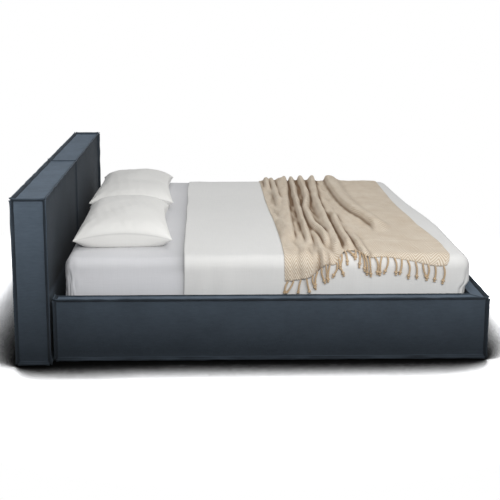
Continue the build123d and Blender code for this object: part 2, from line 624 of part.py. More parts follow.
with BuildPart() as strut_cylinder_left:
    with BuildSketch(STRUT_PLANE):
        with BuildLine():
            Polyline(
                (EYE_R - 1, 0),
                (EYE_R - 1, NECK_R),
                (SHOULDER_AT - 3, NECK_R),
                (SHOULDER_AT, STRUT_R),
                (CYLINDER_END, STRUT_R),
                (CYLINDER_END, STRUT_BORE_R),
                (BORE_AT, STRUT_BORE_R),
                (BORE_AT, 0),
                close=True,
            )
        make_face()
    revolve(axis=Axis((STRUT_S[0], -STRUT_Y, STRUT_S[1]), (STRUT_UNIT[0], 0, STRUT_UNIT[1])))
    with BuildSketch(STRUT_PLANE.offset(-EYE_HALF)):
        Circle(EYE_R)
    extrude(amount=2 * EYE_HALF)
    with BuildSketch(STRUT_PLANE.offset(-EYE_HALF - 5)):
        Circle(STUD_R + 0.05)
    extrude(amount=2 * EYE_HALF + 10, mode=Mode.SUBTRACT)
strut_cylinder_right = mirrored(strut_cylinder_left)

with BuildPart() as strut_rod_left:
    with BuildSketch(STRUT_PLANE):
        with BuildLine():
            Polyline(
                (ROD_START, 0),
                (ROD_START, ROD_R),
                (STRUT_REST - SHOULDER_AT, ROD_R),
                (STRUT_REST - SHOULDER_AT, EYE_HALF - 1),
                (STRUT_REST - 8, EYE_HALF - 1),
                (STRUT_REST - 8, 0),
                close=True,
            )
        make_face()
    revolve(axis=Axis((STRUT_S[0], -STRUT_Y, STRUT_S[1]), (STRUT_UNIT[0], 0, STRUT_UNIT[1])))
    with BuildSketch(STRUT_PLANE.offset(-EYE_HALF)):
        with Locations((STRUT_REST, 0)):
            Circle(EYE_R)
    extrude(amount=2 * EYE_HALF)
strut_rod_right = mirrored(strut_rod_left)

# Mattress retainers at the head end and a pull strap at the foot
RETAINER_BAR = 8.0
RETAINER_WIDTH = 198.0
RETAINER_BEND = 16.0
RETAINER_TOP = 309.0
RETAINER_OUT = 19.0
RETAINER_Y = 480.0
RETAINER_HEIGHT = RETAINER_TOP - TUBE_MID_Z + RETAINER_BAR / 2
with BuildPart() as mattress_retainers:
    for centre in (-RETAINER_Y, RETAINER_Y):
        with BuildSketch(Plane.YZ.offset(PLATFORM_HEAD - RETAINER_OUT)):
            with Locations((centre, RETAINER_TOP - RETAINER_HEIGHT)):
                RectangleRounded(RETAINER_WIDTH, 2 * RETAINER_HEIGHT, RETAINER_BEND)
                Rectangle(RETAINER_WIDTH - 2 * RETAINER_BAR, 2 * (RETAINER_HEIGHT - RETAINER_BAR), mode=Mode.SUBTRACT)
            with Locations((centre, RETAINER_TOP - 1.5 * RETAINER_HEIGHT)):
                Rectangle(RETAINER_WIDTH, RETAINER_HEIGHT, mode=Mode.SUBTRACT)
        extrude(amount=RETAINER_BAR)
        with BuildSketch(Plane.YZ.offset(PLATFORM_HEAD - RETAINER_OUT + RETAINER_BAR)):
            for side in (-1, 1):
                with Locations((centre + side * (RETAINER_WIDTH - RETAINER_BAR) / 2, TUBE_MID_Z)):
                    Rectangle(RETAINER_BAR, RETAINER_BAR)
        extrude(amount=RETAINER_OUT - RETAINER_BAR)

STRAP_THICK = 2.0
STRAP_WIDTH = 40.0
STRAP_LOW = 208.0
STRAP_BEND = (228.0, 258.0)
STRAP_TOP = 312.0
STRAP_OUT = 18.0
with BuildPart() as pull_strap:
    with BuildSketch(side_plane(-STRAP_WIDTH / 2)):
        with BuildLine():
            Polyline(
                (PLATFORM_FOOT, STRAP_LOW),
                (PLATFORM_FOOT + STRAP_THICK, STRAP_LOW),
                (PLATFORM_FOOT + STRAP_THICK, STRAP_BEND[0]),
                (PLATFORM_FOOT + STRAP_OUT, STRAP_BEND[1]),
                (PLATFORM_FOOT + STRAP_OUT, STRAP_TOP),
                (PLATFORM_FOOT + STRAP_OUT - STRAP_THICK, STRAP_TOP),
                (PLATFORM_FOOT + STRAP_OUT - STRAP_THICK, STRAP_BEND[1] + 0.6),
                (PLATFORM_FOOT, STRAP_BEND[0] + 0.6),
                close=True,
            )
        make_face()
    extrude(amount=STRAP_WIDTH)


# Mattress, its fitted sheet and the tucked cover
def edge_cut(grow):
    """Cut of the upper edge that keeps an even distance to the mattress's own."""
    return MATTRESS_EDGE_CUT + (2 - 2**0.5) * grow


def sheeted_block(grow, top):
    """Mattress outline grown sideways, up to the given height, with its upper edge cut off."""
    with BuildPart() as block:
        with BuildSketch(Plane.XY.offset(MATTRESS_Z)):
            with Locations((MATTRESS_HEAD + MATTRESS_LENGTH / 2, 0)):
                RectangleRounded(MATTRESS_LENGTH + 2 * grow, MATTRESS_WIDTH + 2 * grow, 36 + grow)
        extrude(amount=top - MATTRESS_Z)
        chamfer(block.faces().sort_by(Axis.Z)[-1].edges(), edge_cut(grow))
    return block


mattress = sheeted_block(0, MATTRESS_TOP)
sheeted = sheeted_block(SHEET, MATTRESS_TOP + SHEET)
covered = sheeted_block(SHEET + COVER, COVER_TOP)

with BuildPart() as fitted_sheet:
    add(sheeted.part)
    add(mattress.part, mode=Mode.SUBTRACT)

with BuildPart() as cover_sheet:
    add(covered.part)
    add(sheeted.part, mode=Mode.SUBTRACT)
    with BuildSketch(Plane.XY.offset(COVER_HEM)):
        with Locations(((COVER_HEAD + 1200) / 2, 0)):
            Rectangle(1200 - COVER_HEAD, 2000)
    extrude(amount=400, mode=Mode.INTERSECT)


# Pillows: crowned between drawn-in seams. Each station along: share of the half length, swell, draw-in
PILLOW_HALF_WIDTH = 254.0
PILLOW_HALF_LENGTH = 352.0
PILLOW_SEAM = 48.0
PILLOW_STATIONS = (
    (-1.0, 0.10, 0.0),
    (-0.86, 0.52, 6.0),
    (-0.5, 0.90, 15.0),
    (0.0, 1.0, 20.0),
    (0.5, 0.90, 15.0),
    (0.86, 0.52, 6.0),
    (1.0, 0.10, 0.0),
)
PILLOW_CROWN_SHARES = (-1.0, -0.9, -0.6, -0.2, 0.2, 0.6, 0.9, 1.0)
PILLOW_BASE_SHARES = (0.75, -0.75)


def pillow(centre_x, centre_y, crown):
    """Faceted pillow: elliptic crown over a flat base, thin along its seams."""
    with BuildPart() as body:
        for station, rise, pull in PILLOW_STATIONS:
            seam = PILLOW_REST + PILLOW_SEAM * (1 - 0.3 * rise)
            low = PILLOW_REST + PILLOW_SEAM * 0.7 * (1 - rise)
            high = PILLOW_REST + PILLOW_SEAM + rise * (crown - PILLOW_SEAM)
            half = PILLOW_HALF_WIDTH - pull
            outline = [(centre_x + half * u, seam + (high - seam) * (1 - u * u) ** 0.5) for u in PILLOW_CROWN_SHARES]
            outline += [(centre_x + half * u, low) for u in PILLOW_BASE_SHARES]
            with BuildSketch(side_plane(-centre_y - station * PILLOW_HALF_LENGTH)):
                with BuildLine():
                    Polyline(*outline, close=True)
                make_face()
        loft(ruled=True)
    return body


pillow_left = pillow(-664, -402, 195)
pillow_right = pillow(-682, 420, 180)

# Throw laid across the bed: five long folds, both ends over the mattress edge, the near hem drawn up in the middle
THROW_THICK = 4.0
THROW_REST = COVER_TOP + 0.3
THROW_FOLDS = 5
FOLD_SHARE = 0.45
EDGE_Y = MATTRESS_WIDTH / 2 + SHEET + COVER
SIDE_Y = EDGE_Y + 0.4
EDGE_CUT = edge_cut(SHEET + COVER)
BEND = EDGE_CUT / 2 - 0.3
# Each station: origin y and z, lean of the section, left and right edge x, fold height
THROW_STATIONS = (
    (SIDE_Y, 420.0, 90, 150.0, 925.0, 10.0),
    (SIDE_Y, COVER_TOP - EDGE_CUT, 90, 140.0, 930.0, 15.0),
    (EDGE_Y - BEND, COVER_TOP - BEND, 45, 137.0, 933.0, 19.0),
    (EDGE_Y - EDGE_CUT, THROW_REST, 0, 134.0, 936.0, 23.0),
    (300.0, THROW_REST, 0, 140.0, 946.0, 26.0),
    (-400.0, THROW_REST, 0, 157.0, 968.0, 18.0),
    (-EDGE_Y + EDGE_CUT, THROW_REST, 0, 160.0, 974.0, 11.0),
    (-EDGE_Y + BEND, COVER_TOP - BEND, -45, 160.0, 966.0, 9.0),
    (-SIDE_Y, COVER_TOP - EDGE_CUT, -90, 160.0, 958.0, 8.0),
    (-SIDE_Y, 388.0, -90, 162.0, 946.0, 6.0),
)
NEAR_HEM = ((150, 392), (200, 392), (420, 486), (700, 486), (850, 462), (935, 440), (1000, 436))
NEAR_GATHER = ((420, -905), (520, -790), (552, -880), (700, -905))


def folded_section(left, right, height):
    """Strip of even thickness with equal raised folds between flat stretches."""
    pitch = (right - left) / THROW_FOLDS
    crease = pitch * FOLD_SHARE
    with BuildLine() as outline:
        for base in (0.0, THROW_THICK):
            for n in range(THROW_FOLDS):
                start = left + pitch * (n + 0.5) - crease / 2
                before = left if n == 0 else start - pitch + crease
                Polyline(
                    (before, base),
                    (start, base),
                    (start + crease * 0.3, base + height),
                    (start + crease * 0.7, base + height),
                    (start + crease, base),
                )
            Line((right - (pitch - crease) / 2, base), (right, base))
        Line((left, 0), (left, THROW_THICK))
        Line((right, 0), (right, THROW_THICK))
    make_face(outline.edges())


with BuildPart() as throw:
    for y, z, lean, left, right, height in THROW_STATIONS:
        tilt = radians(lean)
        with BuildSketch(Plane(origin=(0, y, z), x_dir=(1, 0, 0), z_dir=(0, -cos(tilt), sin(tilt)))):
            folded_section(left, right, height)
    loft(ruled=True)
    with BuildSketch(side_plane(EDGE_Y - 3)):
        with BuildLine():
            Polyline(*NEAR_HEM, (1000, 380), (150, 380), close=True)
        make_face()
    extrude(amount=60, mode=Mode.SUBTRACT)
    with BuildSketch(Plane.XY.offset(COVER_TOP - 60)):
        with BuildLine():
            Polyline(*NEAR_GATHER, (700, -1000), (420, -1000), close=True)
        make_face()
    extrude(amount=160, mode=Mode.SUBTRACT)

# Knotted tassels along both hems
TASSEL_COUNT = 24
TASSEL_FIRST_X = 168.0
TASSEL_PITCH = 33.4
TASSEL_LENGTH = 70.0
TASSEL_HEAD = 16.0
TASSEL_CORD_R = 2.8
TASSEL_HEAD_R = 5.0
TASSEL_GAP = 2.4
TASSEL_LOWEST = RAIL_TOP + 3


def along(points, x):
    """Height of a broken line at x."""
    for (x0, y0), (x1, y1) in zip(points, points[1:]):
        if x0 <= x <= x1:
            return y0 + (y1 - y0) * (x - x0) / (x1 - x0)
    return points[-1][1]


def tassel_places():
    """Plane and length of each tassel: lying towards the edge where the hem is gathered, hanging elsewhere."""
    places = []
    for n in range(TASSEL_COUNT):
        x = TASSEL_FIRST_X + n * TASSEL_PITCH
        hem_y = min(along(NEAR_GATHER, x - TASSEL_HEAD_R), along(NEAR_GATHER, x + TASSEL_HEAD_R))
        lying = min(TASSEL_LENGTH, hem_y + EDGE_Y - EDGE_CUT)
        top = along(NEAR_HEM, x) - TASSEL_GAP
        if lying > 2 * TASSEL_HEAD:
            start = (x, hem_y - TASSEL_GAP, THROW_REST + TASSEL_HEAD_R)
            places.append((Plane(origin=start, x_dir=(1, 0, 0), z_dir=(0, -1, 0)), lying))
        else:
            start = (x, -SIDE_Y - TASSEL_HEAD_R - 0.2, top)
            places.append((Plane(origin=start, z_dir=(0, 0, -1)), min(TASSEL_LENGTH, top - TASSEL_LOWEST)))
        far = (x - TASSEL_PITCH / 2, SIDE_Y + TASSEL_HEAD_R + 0.2, THROW_STATIONS[0][1])
        places.append((Plane(origin=far, z_dir=(0, 0, -1)), TASSEL_LENGTH))
    return places


with BuildPart() as throw_tassels:
    for plane, length in tassel_places():
        with BuildSketch(plane):
            RegularPolygon(TASSEL_CORD_R, 4)
        extrude(amount=length - TASSEL_HEAD)
        with BuildSketch(plane.offset(length - TASSEL_HEAD)):
            RegularPolygon(TASSEL_HEAD_R, 4)
        extrude(amount=TASSEL_HEAD, taper=8)

PIECES = {
    "headboard_section_left": headboard_section_left,
    "headboard_section_right": headboard_section_right,
    "headboard_core_left": headboard_core_left,
    "headboard_core_right": headboard_core_right,
    "headboard_joining_plate": headboard_joining_plate,
    "side_rail_left": side_rail_left,
    "side_rail_right": side_rail_right,
    "foot_rail": foot_rail,
    "side_rail_core_left": side_rail_core_left,
    "side_rail_core_right": side_rail_core_right,
    "foot_rail_core": foot_rail_core,
    "headboard_bracket_left": headboard_bracket_left,
    "headboard_bracket_right": headboard_bracket_right,
    "foot_bracket_left": foot_bracket_left,
    "foot_bracket_right": foot_bracket_right,
    "floor_panel_head_left": floor_panel_head_left,
    "floor_panel_head_right": floor_panel_head_right,
    "floor_panel_foot_left": floor_panel_foot_left,
    "floor_panel_foot_right": floor_panel_foot_right,
    "floor_ledger_left": floor_ledger_left,
    "floor_ledger_right": floor_ledger_right,
    "floor_bearers": floor_bearers,
    "foot_ledger": foot_ledger,
    "rubber_stops": rubber_stops,
    "glides": glides,
    "lift_base_plate_left": lift_base_plate_left,
    "lift_base_plate_right": lift_base_plate_right,
    "base_pivots_left": base_pivots_left,
    "base_pivots_right": base_pivots_right,
    "side_tube_left": side_tube_left,
    "side_tube_right": side_tube_right,
    "head_tube": head_tube,
    "foot_tube": foot_tube,
    "centre_tube": centre_tube,
    "cross_tubes": cross_tubes,
    "slats_left": slats_left,
    "slats_right": slats_right,
    "slat_caps_left": slat_caps_left,
    "slat_caps_right": slat_caps_right,
    "slat_caps_centre": slat_caps_centre,
    "lift_bracket_left": lift_bracket_left,
    "lift_bracket_right": lift_bracket_right,
    "mattress_retainers": mattress_retainers,
    "pull_strap": pull_strap,
    "mattress": mattress,
    "fitted_sheet": fitted_sheet,
    "cover_sheet": cover_sheet,
    "pillow_left": pillow_left,
    "pillow_right": pillow_right,
    "throw": throw,
    "throw_tassels": throw_tassels,
    "rear_arm_left": rear_arm_left,
    "rear_arm_right": rear_arm_right,
    "front_arm_left": front_arm_left,
    "front_arm_right": front_arm_right,
    "strut_cylinder_left": strut_cylinder_left,
    "strut_cylinder_right": strut_cylinder_right,
    "strut_rod_left": strut_rod_left,
    "strut_rod_right": strut_rod_right,
}
for label, piece in PIECES.items():
    piece.part.label = label
    export_step(piece.part, f"parts/{label}.step")
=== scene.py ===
"""Dresses a lift-up storage bed: upholstery, bedding, throw, small fasteners, finishes and a plain studio.

Everything is in metres in the bed's own frame: origin on the floor under its middle, +X to the foot, +Z up,
so the side nearest the camera is at -Y. The rigid pieces stay as they are loaded and get their finishes here.
"""

import json

import bpy
import numpy as np
from bpy.props import FloatProperty, FloatVectorProperty, IntProperty, PointerProperty
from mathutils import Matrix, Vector


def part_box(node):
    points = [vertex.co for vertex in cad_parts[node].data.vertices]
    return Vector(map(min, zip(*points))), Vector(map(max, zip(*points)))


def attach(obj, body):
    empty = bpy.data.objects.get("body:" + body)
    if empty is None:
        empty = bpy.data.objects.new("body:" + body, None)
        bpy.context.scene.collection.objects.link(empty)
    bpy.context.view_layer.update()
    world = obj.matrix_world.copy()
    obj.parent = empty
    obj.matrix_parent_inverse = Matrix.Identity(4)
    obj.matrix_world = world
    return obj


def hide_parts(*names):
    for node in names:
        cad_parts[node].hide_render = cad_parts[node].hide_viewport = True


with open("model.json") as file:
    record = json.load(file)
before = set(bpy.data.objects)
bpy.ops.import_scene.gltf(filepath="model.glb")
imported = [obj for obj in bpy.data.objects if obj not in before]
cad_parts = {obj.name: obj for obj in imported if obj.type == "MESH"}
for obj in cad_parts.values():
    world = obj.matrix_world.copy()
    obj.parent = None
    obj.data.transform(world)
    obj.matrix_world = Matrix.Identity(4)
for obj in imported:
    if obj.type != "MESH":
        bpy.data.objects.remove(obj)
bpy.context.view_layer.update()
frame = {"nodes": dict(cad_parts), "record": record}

bl_info = {
    "name": "Lift-up storage bed dressing",
    "version": (1, 0, 0),
    "blender": (4, 5, 0),
    "location": "3D View > Sidebar > Bed",
    "description": "Upholstery, bedding, throw and finishes for a lift-up storage bed",
    "category": "Object",
}

BASE_BODY = "bed_base"
LIFT_BODY = "lift_platform"

# Places read from the loaded frame
RAIL_LOW, RAIL_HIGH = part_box("side_rail_left")
FOOT_LOW, FOOT_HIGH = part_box("foot_rail")
HEADBOARD_LOW, HEADBOARD_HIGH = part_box("headboard_section_left")
MATTRESS_LOW, MATTRESS_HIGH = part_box("mattress")
COVER_LOW, COVER_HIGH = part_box("cover_sheet")

SEED = 7


def ripples(a, b, seed, wavelength, count=7):
    """Smooth irregular waves over two coordinates: seeded sines of like length, over their count's root."""
    draw = np.random.default_rng(SEED + seed)
    turn, phase = draw.uniform(0, 2 * np.pi, (2, count))
    pitch = wavelength * draw.uniform(0.6, 1.6, count)
    total = np.zeros(np.broadcast(a, b).shape)
    for t, p, w in zip(turn, phase, pitch):
        total += np.sin(2 * np.pi * (np.cos(t) * a + np.sin(t) * b) / w + p)
    return total / np.sqrt(count)


def smooth_step(value, low, high):
    """0 below low, 1 above high, and a smooth cubic ramp between them."""
    t = np.clip((value - low) / (high - low), 0, 1)
    return t * t * (3 - 2 * t)


def curve_through(points, at):
    """Smooth curve through (position, value) pairs, by cubic pieces that never overshoot a value.

    The slope at an inner point is the harmonic mean of the slopes on both sides, or zero where these turn.
    """
    knots, values = np.array(points, float).T
    pieces = np.diff(values) / np.diff(knots)
    before, after = pieces[:-1], pieces[1:]
    same = before * after > 0
    inner = np.where(same, 2 * before * after / np.where(same, before + after, 1), 0)
    slopes = np.concatenate([pieces[:1], inner, pieces[-1:]])
    at = np.clip(at, knots[0], knots[-1])
    i = np.clip(np.searchsorted(knots, at) - 1, 0, len(knots) - 2)
    h = knots[i + 1] - knots[i]
    t = (at - knots[i]) / h
    return (
        (2 * t**3 - 3 * t**2 + 1) * values[i]
        + (t**3 - 2 * t**2 + t) * h * slopes[i]
        + (3 * t**2 - 2 * t**3) * values[i + 1]
        + (t**3 - t**2) * h * slopes[i + 1]
    )


def grid_faces(rows, columns, closed=False):
    """Corner indices of a grid's quads, with or without a wrap of its columns, and the same never wrapped."""
    r, c = np.meshgrid(np.arange(rows - 1), np.arange(columns if closed else columns - 1), indexing="ij")
    r, c = r.ravel(), c.ravel()
    across = np.stack([r, r, r + 1, r + 1], 1)
    along = np.stack([c, c + 1, c + 1, c], 1)
    return across * columns + along % columns, (across, along)


def make_piece(name, points, faces, coords=None, body=None, material=None):
    """Mesh object from points, quads and, per quad corner, surface coordinates in metres."""
    mesh = bpy.data.meshes.new(name)
    points = np.asarray(points, np.float32).reshape(-1, 3)
    faces = np.asarray(faces, np.int32)
    mesh.vertices.add(len(points))
    mesh.vertices.foreach_set("co", points.ravel())
    mesh.loops.add(faces.size)
    mesh.loops.foreach_set("vertex_index", faces.ravel())
    mesh.polygons.add(len(faces))
    mesh.polygons.foreach_set("loop_start", np.arange(0, faces.size, faces.shape[1], dtype=np.int32))
    if coords is not None:
        layer = mesh.uv_layers.new(name="cloth")
        layer.uv.foreach_set("vector", np.asarray(coords, np.float32).ravel())
    mesh.update(calc_edges=True)
    mesh.validate()
    mesh.shade_smooth()
    mesh.materials.append(material)
    piece = bpy.data.objects.new(name, mesh)
    bpy.context.scene.collection.objects.link(piece)
    if body:
        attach(piece, body)
    return piece


def grid_piece(name, points, coords=None, closed=False, **extra):
    """Mesh object of one grid of points, rows by columns."""
    faces, corners = grid_faces(*points.shape[:2], closed)
    return make_piece(name, points, faces, None if coords is None else coords[corners], **extra)


def join_grids(grids):
    """Several grids, each its points, whether its columns close and its coordinates, as one list of each."""
    points, faces, coords, start = [], [], [], 0
    for grid, closed, uv in grids:
        quads, corners = grid_faces(*grid.shape[:2], closed)
        points.append(grid.reshape(-1, 3))
        faces.append(quads + start)
        coords.append(uv[corners])
        start += len(points[-1])
    return np.concatenate(points), np.concatenate(faces), np.concatenate(coords)


def mark_points(piece, name, values):
    """Writes one number for every point of a piece, which its material reads under that name."""
    mark = piece.data.attributes.new(name, "FLOAT", "POINT")
    mark.data.foreach_set("value", values.astype(np.float32).ravel())


def modify(piece, kind, **settings):
    """Adds a modifier with its settings."""
    modifier = piece.modifiers.new(kind.title(), kind)
    for key, value in settings.items():
        setattr(modifier, key, value)


# Materials


STRIPE_SCALE = 0.314159  # Scale at which the wave texture has one stripe to the metre
COATED, BARE = 0.0, 1.0  # How far light on a metal's face is the metal's own


def add_node(tree, kind, inputs=None, **settings):
    """A node with its settings, its inputs set to numbers or linked to other nodes' values."""
    node = tree.nodes.new(kind)
    for key, value in settings.items():
        setattr(node, key, value)
    for key, value in (inputs or {}).items():
        if isinstance(value, Value):
            tree.links.new(value.socket, node.inputs[key])
        else:
            node.inputs[key].default_value = value
    return node


class Value:
    """What a new node gives: a number, a place, a colour or a shader. Arithmetic with it adds nodes."""

    def __init__(self, tree, kind, inputs=None, output=0, **settings):
        self.tree = tree
        self.socket = add_node(tree, kind, inputs, **settings).outputs[output]

    def math(self, operation, other=0.0):
        """This number and another through one math node."""
        return Value(self.tree, "ShaderNodeMath", {0: self, 1: other}, operation=operation)

    def __add__(self, other):
        return self.math("ADD", other)

    def __sub__(self, other):
        return self.math("SUBTRACT", other)

    def __rsub__(self, other):
        return Value(self.tree, "ShaderNodeMath", {0: other, 1: self}, operation="SUBTRACT")

    def __mul__(self, other):
        return self.math("MULTIPLY", other)

    def larger(self, other):
        """The larger of this number and another."""
        return self.math("MAXIMUM", other)

    def ramp(self, low, high, out_low=0.0, out_high=1.0):
        """Straight from one number at low to another at high, and level on both sides of them."""
        inputs = {"Value": self, "From Min": low, "From Max": high, "To Min": out_low, "To Max": out_high}
        return Value(self.tree, "ShaderNodeMapRange", inputs, "Result")

    def mix(self, first, second):
        """A colour between two: the first where this number is 0, the second where it is 1."""
        sides = [side if isinstance(side, Value) else (*side, 1) for side in (first, second)]
        inputs = {"Factor": self, 6: sides[0], 7: sides[1]}
        return Value(self.tree, "ShaderNodeMix", inputs, 2, data_type="RGBA")

    def shades(self, colour, low, high):
        """One colour, times low where this number is 0 and times high where it is 1."""
        return self.mix(tinted(colour, low), tinted(colour, high))

    def axis(self, name):
        """One coordinate of this place."""
        return Value(self.tree, "ShaderNodeSeparateXYZ", {"Vector": self}, name)

    def noise(self, scale, detail=3.0, roughness=0.55):
        """Smooth noise about 0.5 at this place: scale lumps to the metre, and finer ones by the detail."""
        inputs = {"Vector": self, "Scale": scale, "Detail": detail, "Roughness": roughness}
        return Value(self.tree, "ShaderNodeTexNoise", inputs, "Fac")

    def stripes(self, pitch, direction="X"):
        """Even stripes at this place, pitch metres from one to the next."""
        inputs = {"Vector": self, "Scale": STRIPE_SCALE / pitch, "Detail": 1.0}
        return Value(self.tree, "ShaderNodeTexWave", inputs, "Fac", bands_direction=direction)


def tinted(colour, factor):
    """The colour times a factor, no part of it over 1."""
    return tuple(min(1.0, part * factor) for part in colour)


def stretched(axis, share):
    """A stretch for place_of that draws a pattern out along one axis, to one over share of its length."""
    return tuple(share if name == axis else 1.0 for name in "XYZ")


def place_of(tree, stretch=(1, 1, 1), source="Object", turn=(0, 0, 0)):
    """The place on the piece, or on its cloth, multiplied by a stretch and turned."""
    where = Value(tree, "ShaderNodeTexCoord", output=source)
    return Value(tree, "ShaderNodeMapping", {"Vector": where, "Scale": stretch, "Rotation": turn})


def marked(tree, name):
    """The number that mark_points wrote under that name."""
    return Value(tree, "ShaderNodeAttribute", output="Fac", attribute_name=name)


def start_material(name, colour, roughness, metallic=0.0, sheen=0.0, shine=0.5):
    """A material with a plain shader, and its node tree."""
    material = bpy.data.materials.new(name)
    material.use_nodes = True
    material.diffuse_color = (*colour, 1)
    inputs = material.node_tree.nodes["Principled BSDF"].inputs
    inputs["Base Color"].default_value = (*colour, 1)
    inputs["Roughness"].default_value = roughness
    inputs["Metallic"].default_value = metallic
    inputs["Sheen Weight"].default_value = sheen
    inputs["Specular IOR Level"].default_value = shine
    return material, material.node_tree


def finish_material(material, colour, *bumps, roughness=None):
    """Links colour, roughness and a chain of bumps, each a height, a strength and a depth in metres."""
    tree = material.node_tree
    linked = {"Base Color": colour}
    if roughness:
        linked["Roughness"] = roughness
    for height, strength, depth in bumps:
        inputs = {"Height": height, "Strength": strength, "Distance": depth}
        if "Normal" in linked:
            inputs["Normal"] = linked["Normal"]
        linked["Normal"] = Value(tree, "ShaderNodeBump", inputs)
    for key, value in linked.items():
        tree.links.new(value.socket, tree.nodes["Principled BSDF"].inputs[key])
    return material


def velvet(name, colour):
    """Short pile, clouded, with painted light: paler towards the top of a face and on level faces.

    It has painted shade into the seams by the surface coordinate U, the distance to the nearest seam, and it
    is painted darker on faces turned to the foot end above the rails.
    """
    material, tree = start_material(name, colour, 0.85, sheen=0.03, shine=0.12)
    place = place_of(tree)
    cloud = place.noise(5.0, 4.0, 0.6)
    streak = place_of(tree, (3, 3, 14)).noise(9.0, 3.0, 0.6)
    nap = place.noise(260.0, 2.0, 0.7)
    height = place.axis("Z")
    facing = Value(tree, "ShaderNodeNewGeometry", output="Normal")
    # Painted shade: faces turned to the foot end above the rails are painted darker.
    turned = facing.axis("X").ramp(0.6, 0.95) * height.ramp(0.33, 0.36)
    # Painted light: the colour is painted paler with height, less so on the turned faces.
    painted_light_by_height = height.ramp(0.05, 0.82) * (1.0 - turned * 0.62)
    # Painted light: level faces are painted paler, as if lit from above.
    level = facing.axis("Z").ramp(0.55, 0.95, 0.0, 0.82)
    to_seam = Value(tree, "ShaderNodeTexCoord", output="UV").axis("X")
    # Painted shade into the seams and over the flanges, by U, the distance to the nearest seam.
    seam = to_seam.ramp(0.0, 0.010, 0.26, 1.0) * (1.0 - turned * 0.50)
    shade = (cloud * 0.6 + streak * 0.4).ramp(0.34, 0.68, 0.86, 1.16) * seam
    # The painted light as lit and shaded tones of the colour.
    painted_light_tone = painted_light_by_height.larger(level).shades(colour, 0.47, 2.95)
    coarse = Value(tree, "ShaderNodeVectorMath", {0: painted_light_tone, "Scale": shade}, operation="SCALE")
    fine = (nap.ramp(0.3, 0.7) * 0.10).mix(coarse, tinted(colour, 2.0))
    return finish_material(material, fine, (cloud, 0.22, 0.004), (nap, 0.35, 0.0006))


def plain_weave(name, colour, thread, slub, contrast, source="Object", painted_shade_mark=None):
    """Woven cloth: threads both ways, thicker ones here and there, and a soft unevenness of tone.

    A painted shade mark names numbers on the points, from 0 to 1, by which the cloth is painted darker in
    shade.
    """
    material, tree = start_material(name, colour, 0.86, sheen=0.12, shine=0.2)
    drawn = 0.045
    place = place_of(tree, source=source)
    warp = place_of(tree, (1.0, drawn, drawn), source).noise(slub, 2.0, 0.5)
    weft = place_of(tree, (drawn, 1.0, 1.0), source).noise(slub, 2.0, 0.5)
    yarns = warp * 0.5 + weft * 0.5
    tone = yarns * 0.75 + place.noise(2.4, 2.0, 0.5) * 0.25
    shade = tone.ramp(0.38, 0.62).shades(colour, 1 - contrast, 1 + contrast)
    if painted_shade_mark:
        # Painted shade: the colour darkens towards a third of itself by the mark.
        shade = marked(tree, painted_shade_mark).mix(shade, tinted(colour, 0.35))
    fine = place.noise(thread, 1.0, 0.5)
    return finish_material(material, shade, (yarns, 0.25, 0.0012), (fine, 0.2, 0.0004))


def herringbone(name, dark, light, rib, column, border):
    """Herringbone twill on the cloth's own coordinates: slanting ribs that turn back at every column.

    V runs from the hem. Within the border the ribs are bolder, and a pale line closes it off. A rib is the
    absolute sine of the place across, folded at every column, plus a share of the place along.
    """
    material, tree = start_material(name, dark, 0.9, sheen=0.06, shine=0.12)
    wobble, slope, mean_rib, mean_noise = 0.006, 0.62, 0.62, 0.5
    where = Value(tree, "ShaderNodeTexCoord", output="UV")
    yarn = where.noise(420.0, 2.0, 0.6)
    cloud = where.noise(9.0, 3.0, 0.6)
    along = where.axis("Y")
    folded = (where.axis("X") + where.noise(14.0, 1.0) * wobble).math("PINGPONG", column)
    wave = ((folded + along * slope) * (np.pi / rib)).math("SINE").math("ABSOLUTE")
    contrast = along.ramp(border * 0.45, border * 0.95, 1.0, 0.0) * 0.5 + 0.4
    tone = (wave - mean_rib) * contrast + (yarn - mean_noise) * 0.9 + (cloud - mean_noise) * 0.5
    ribs = tone.ramp(-0.42, 0.34).mix(dark, light)
    line = (along - border).math("ABSOLUTE").ramp(0.002, 0.005, 0.4, 0.0)
    # Painted shade: the colour darkens to a deep brown in the fold valleys, by the hollow mark.
    painted_valley_shade = tuple(part * share for part, share in zip(dark, (0.36, 0.30, 0.25)))
    woven = marked(tree, "hollow").mix(line.mix(ribs, tinted(light, 1.12)), painted_valley_shade)
    return finish_material(material, woven, (wave, 0.5, 0.0016), (yarn, 0.4, 0.0010))


def twisted_yarn(name, dark, light):
    """Tassel yarn: light and dark plies that wind round the cord, on the tassel's own coordinates."""
    material, tree = start_material(name, light, 0.9, sheen=0.25, shine=0.15)
    plies = place_of(tree, source="UV", turn=(0, 0, 0.6)).stripes(0.0045)
    fluff = place_of(tree).noise(700.0, 2.0)
    return finish_material(material, (plies * 0.6 + fluff * 0.4).mix(dark, light), (fluff, 0.5, 0.001))


def timber(name, colour, grain_axis, roughness=0.5, ring=26.0, contrast=0.28):
    """Wood: growth rings drawn out along the piece, and fine pores in them."""
    material, tree = start_material(name, colour, roughness, shine=0.35)
    place = place_of(tree, stretched(grain_axis, 0.06))
    rings, pores = place.noise(ring, 4.0, 0.6), place.noise(420.0, 2.0, 0.6)
    shade = (rings * 0.75 + pores * 0.25).ramp(0.35, 0.68).shades(colour, 1 - contrast, 1 + contrast)
    return finish_material(material, shade, (rings, 0.15, 0.0006), (pores, 0.25, 0.0003))


def fibreboard(name, colour):
    """Smooth hardboard: fine pressed fibres and a slightly polished face."""
    material, tree = start_material(name, colour, 0.42, shine=0.4)
    place = place_of(tree)
    fibre = place.noise(300.0, 4.0, 0.7)
    shade = (fibre * 0.6 + place.noise(6.0, 3.0) * 0.4).shades(colour, 0.75, 1.25)
    return finish_material(material, shade, (fibre, 0.2, 0.0003))


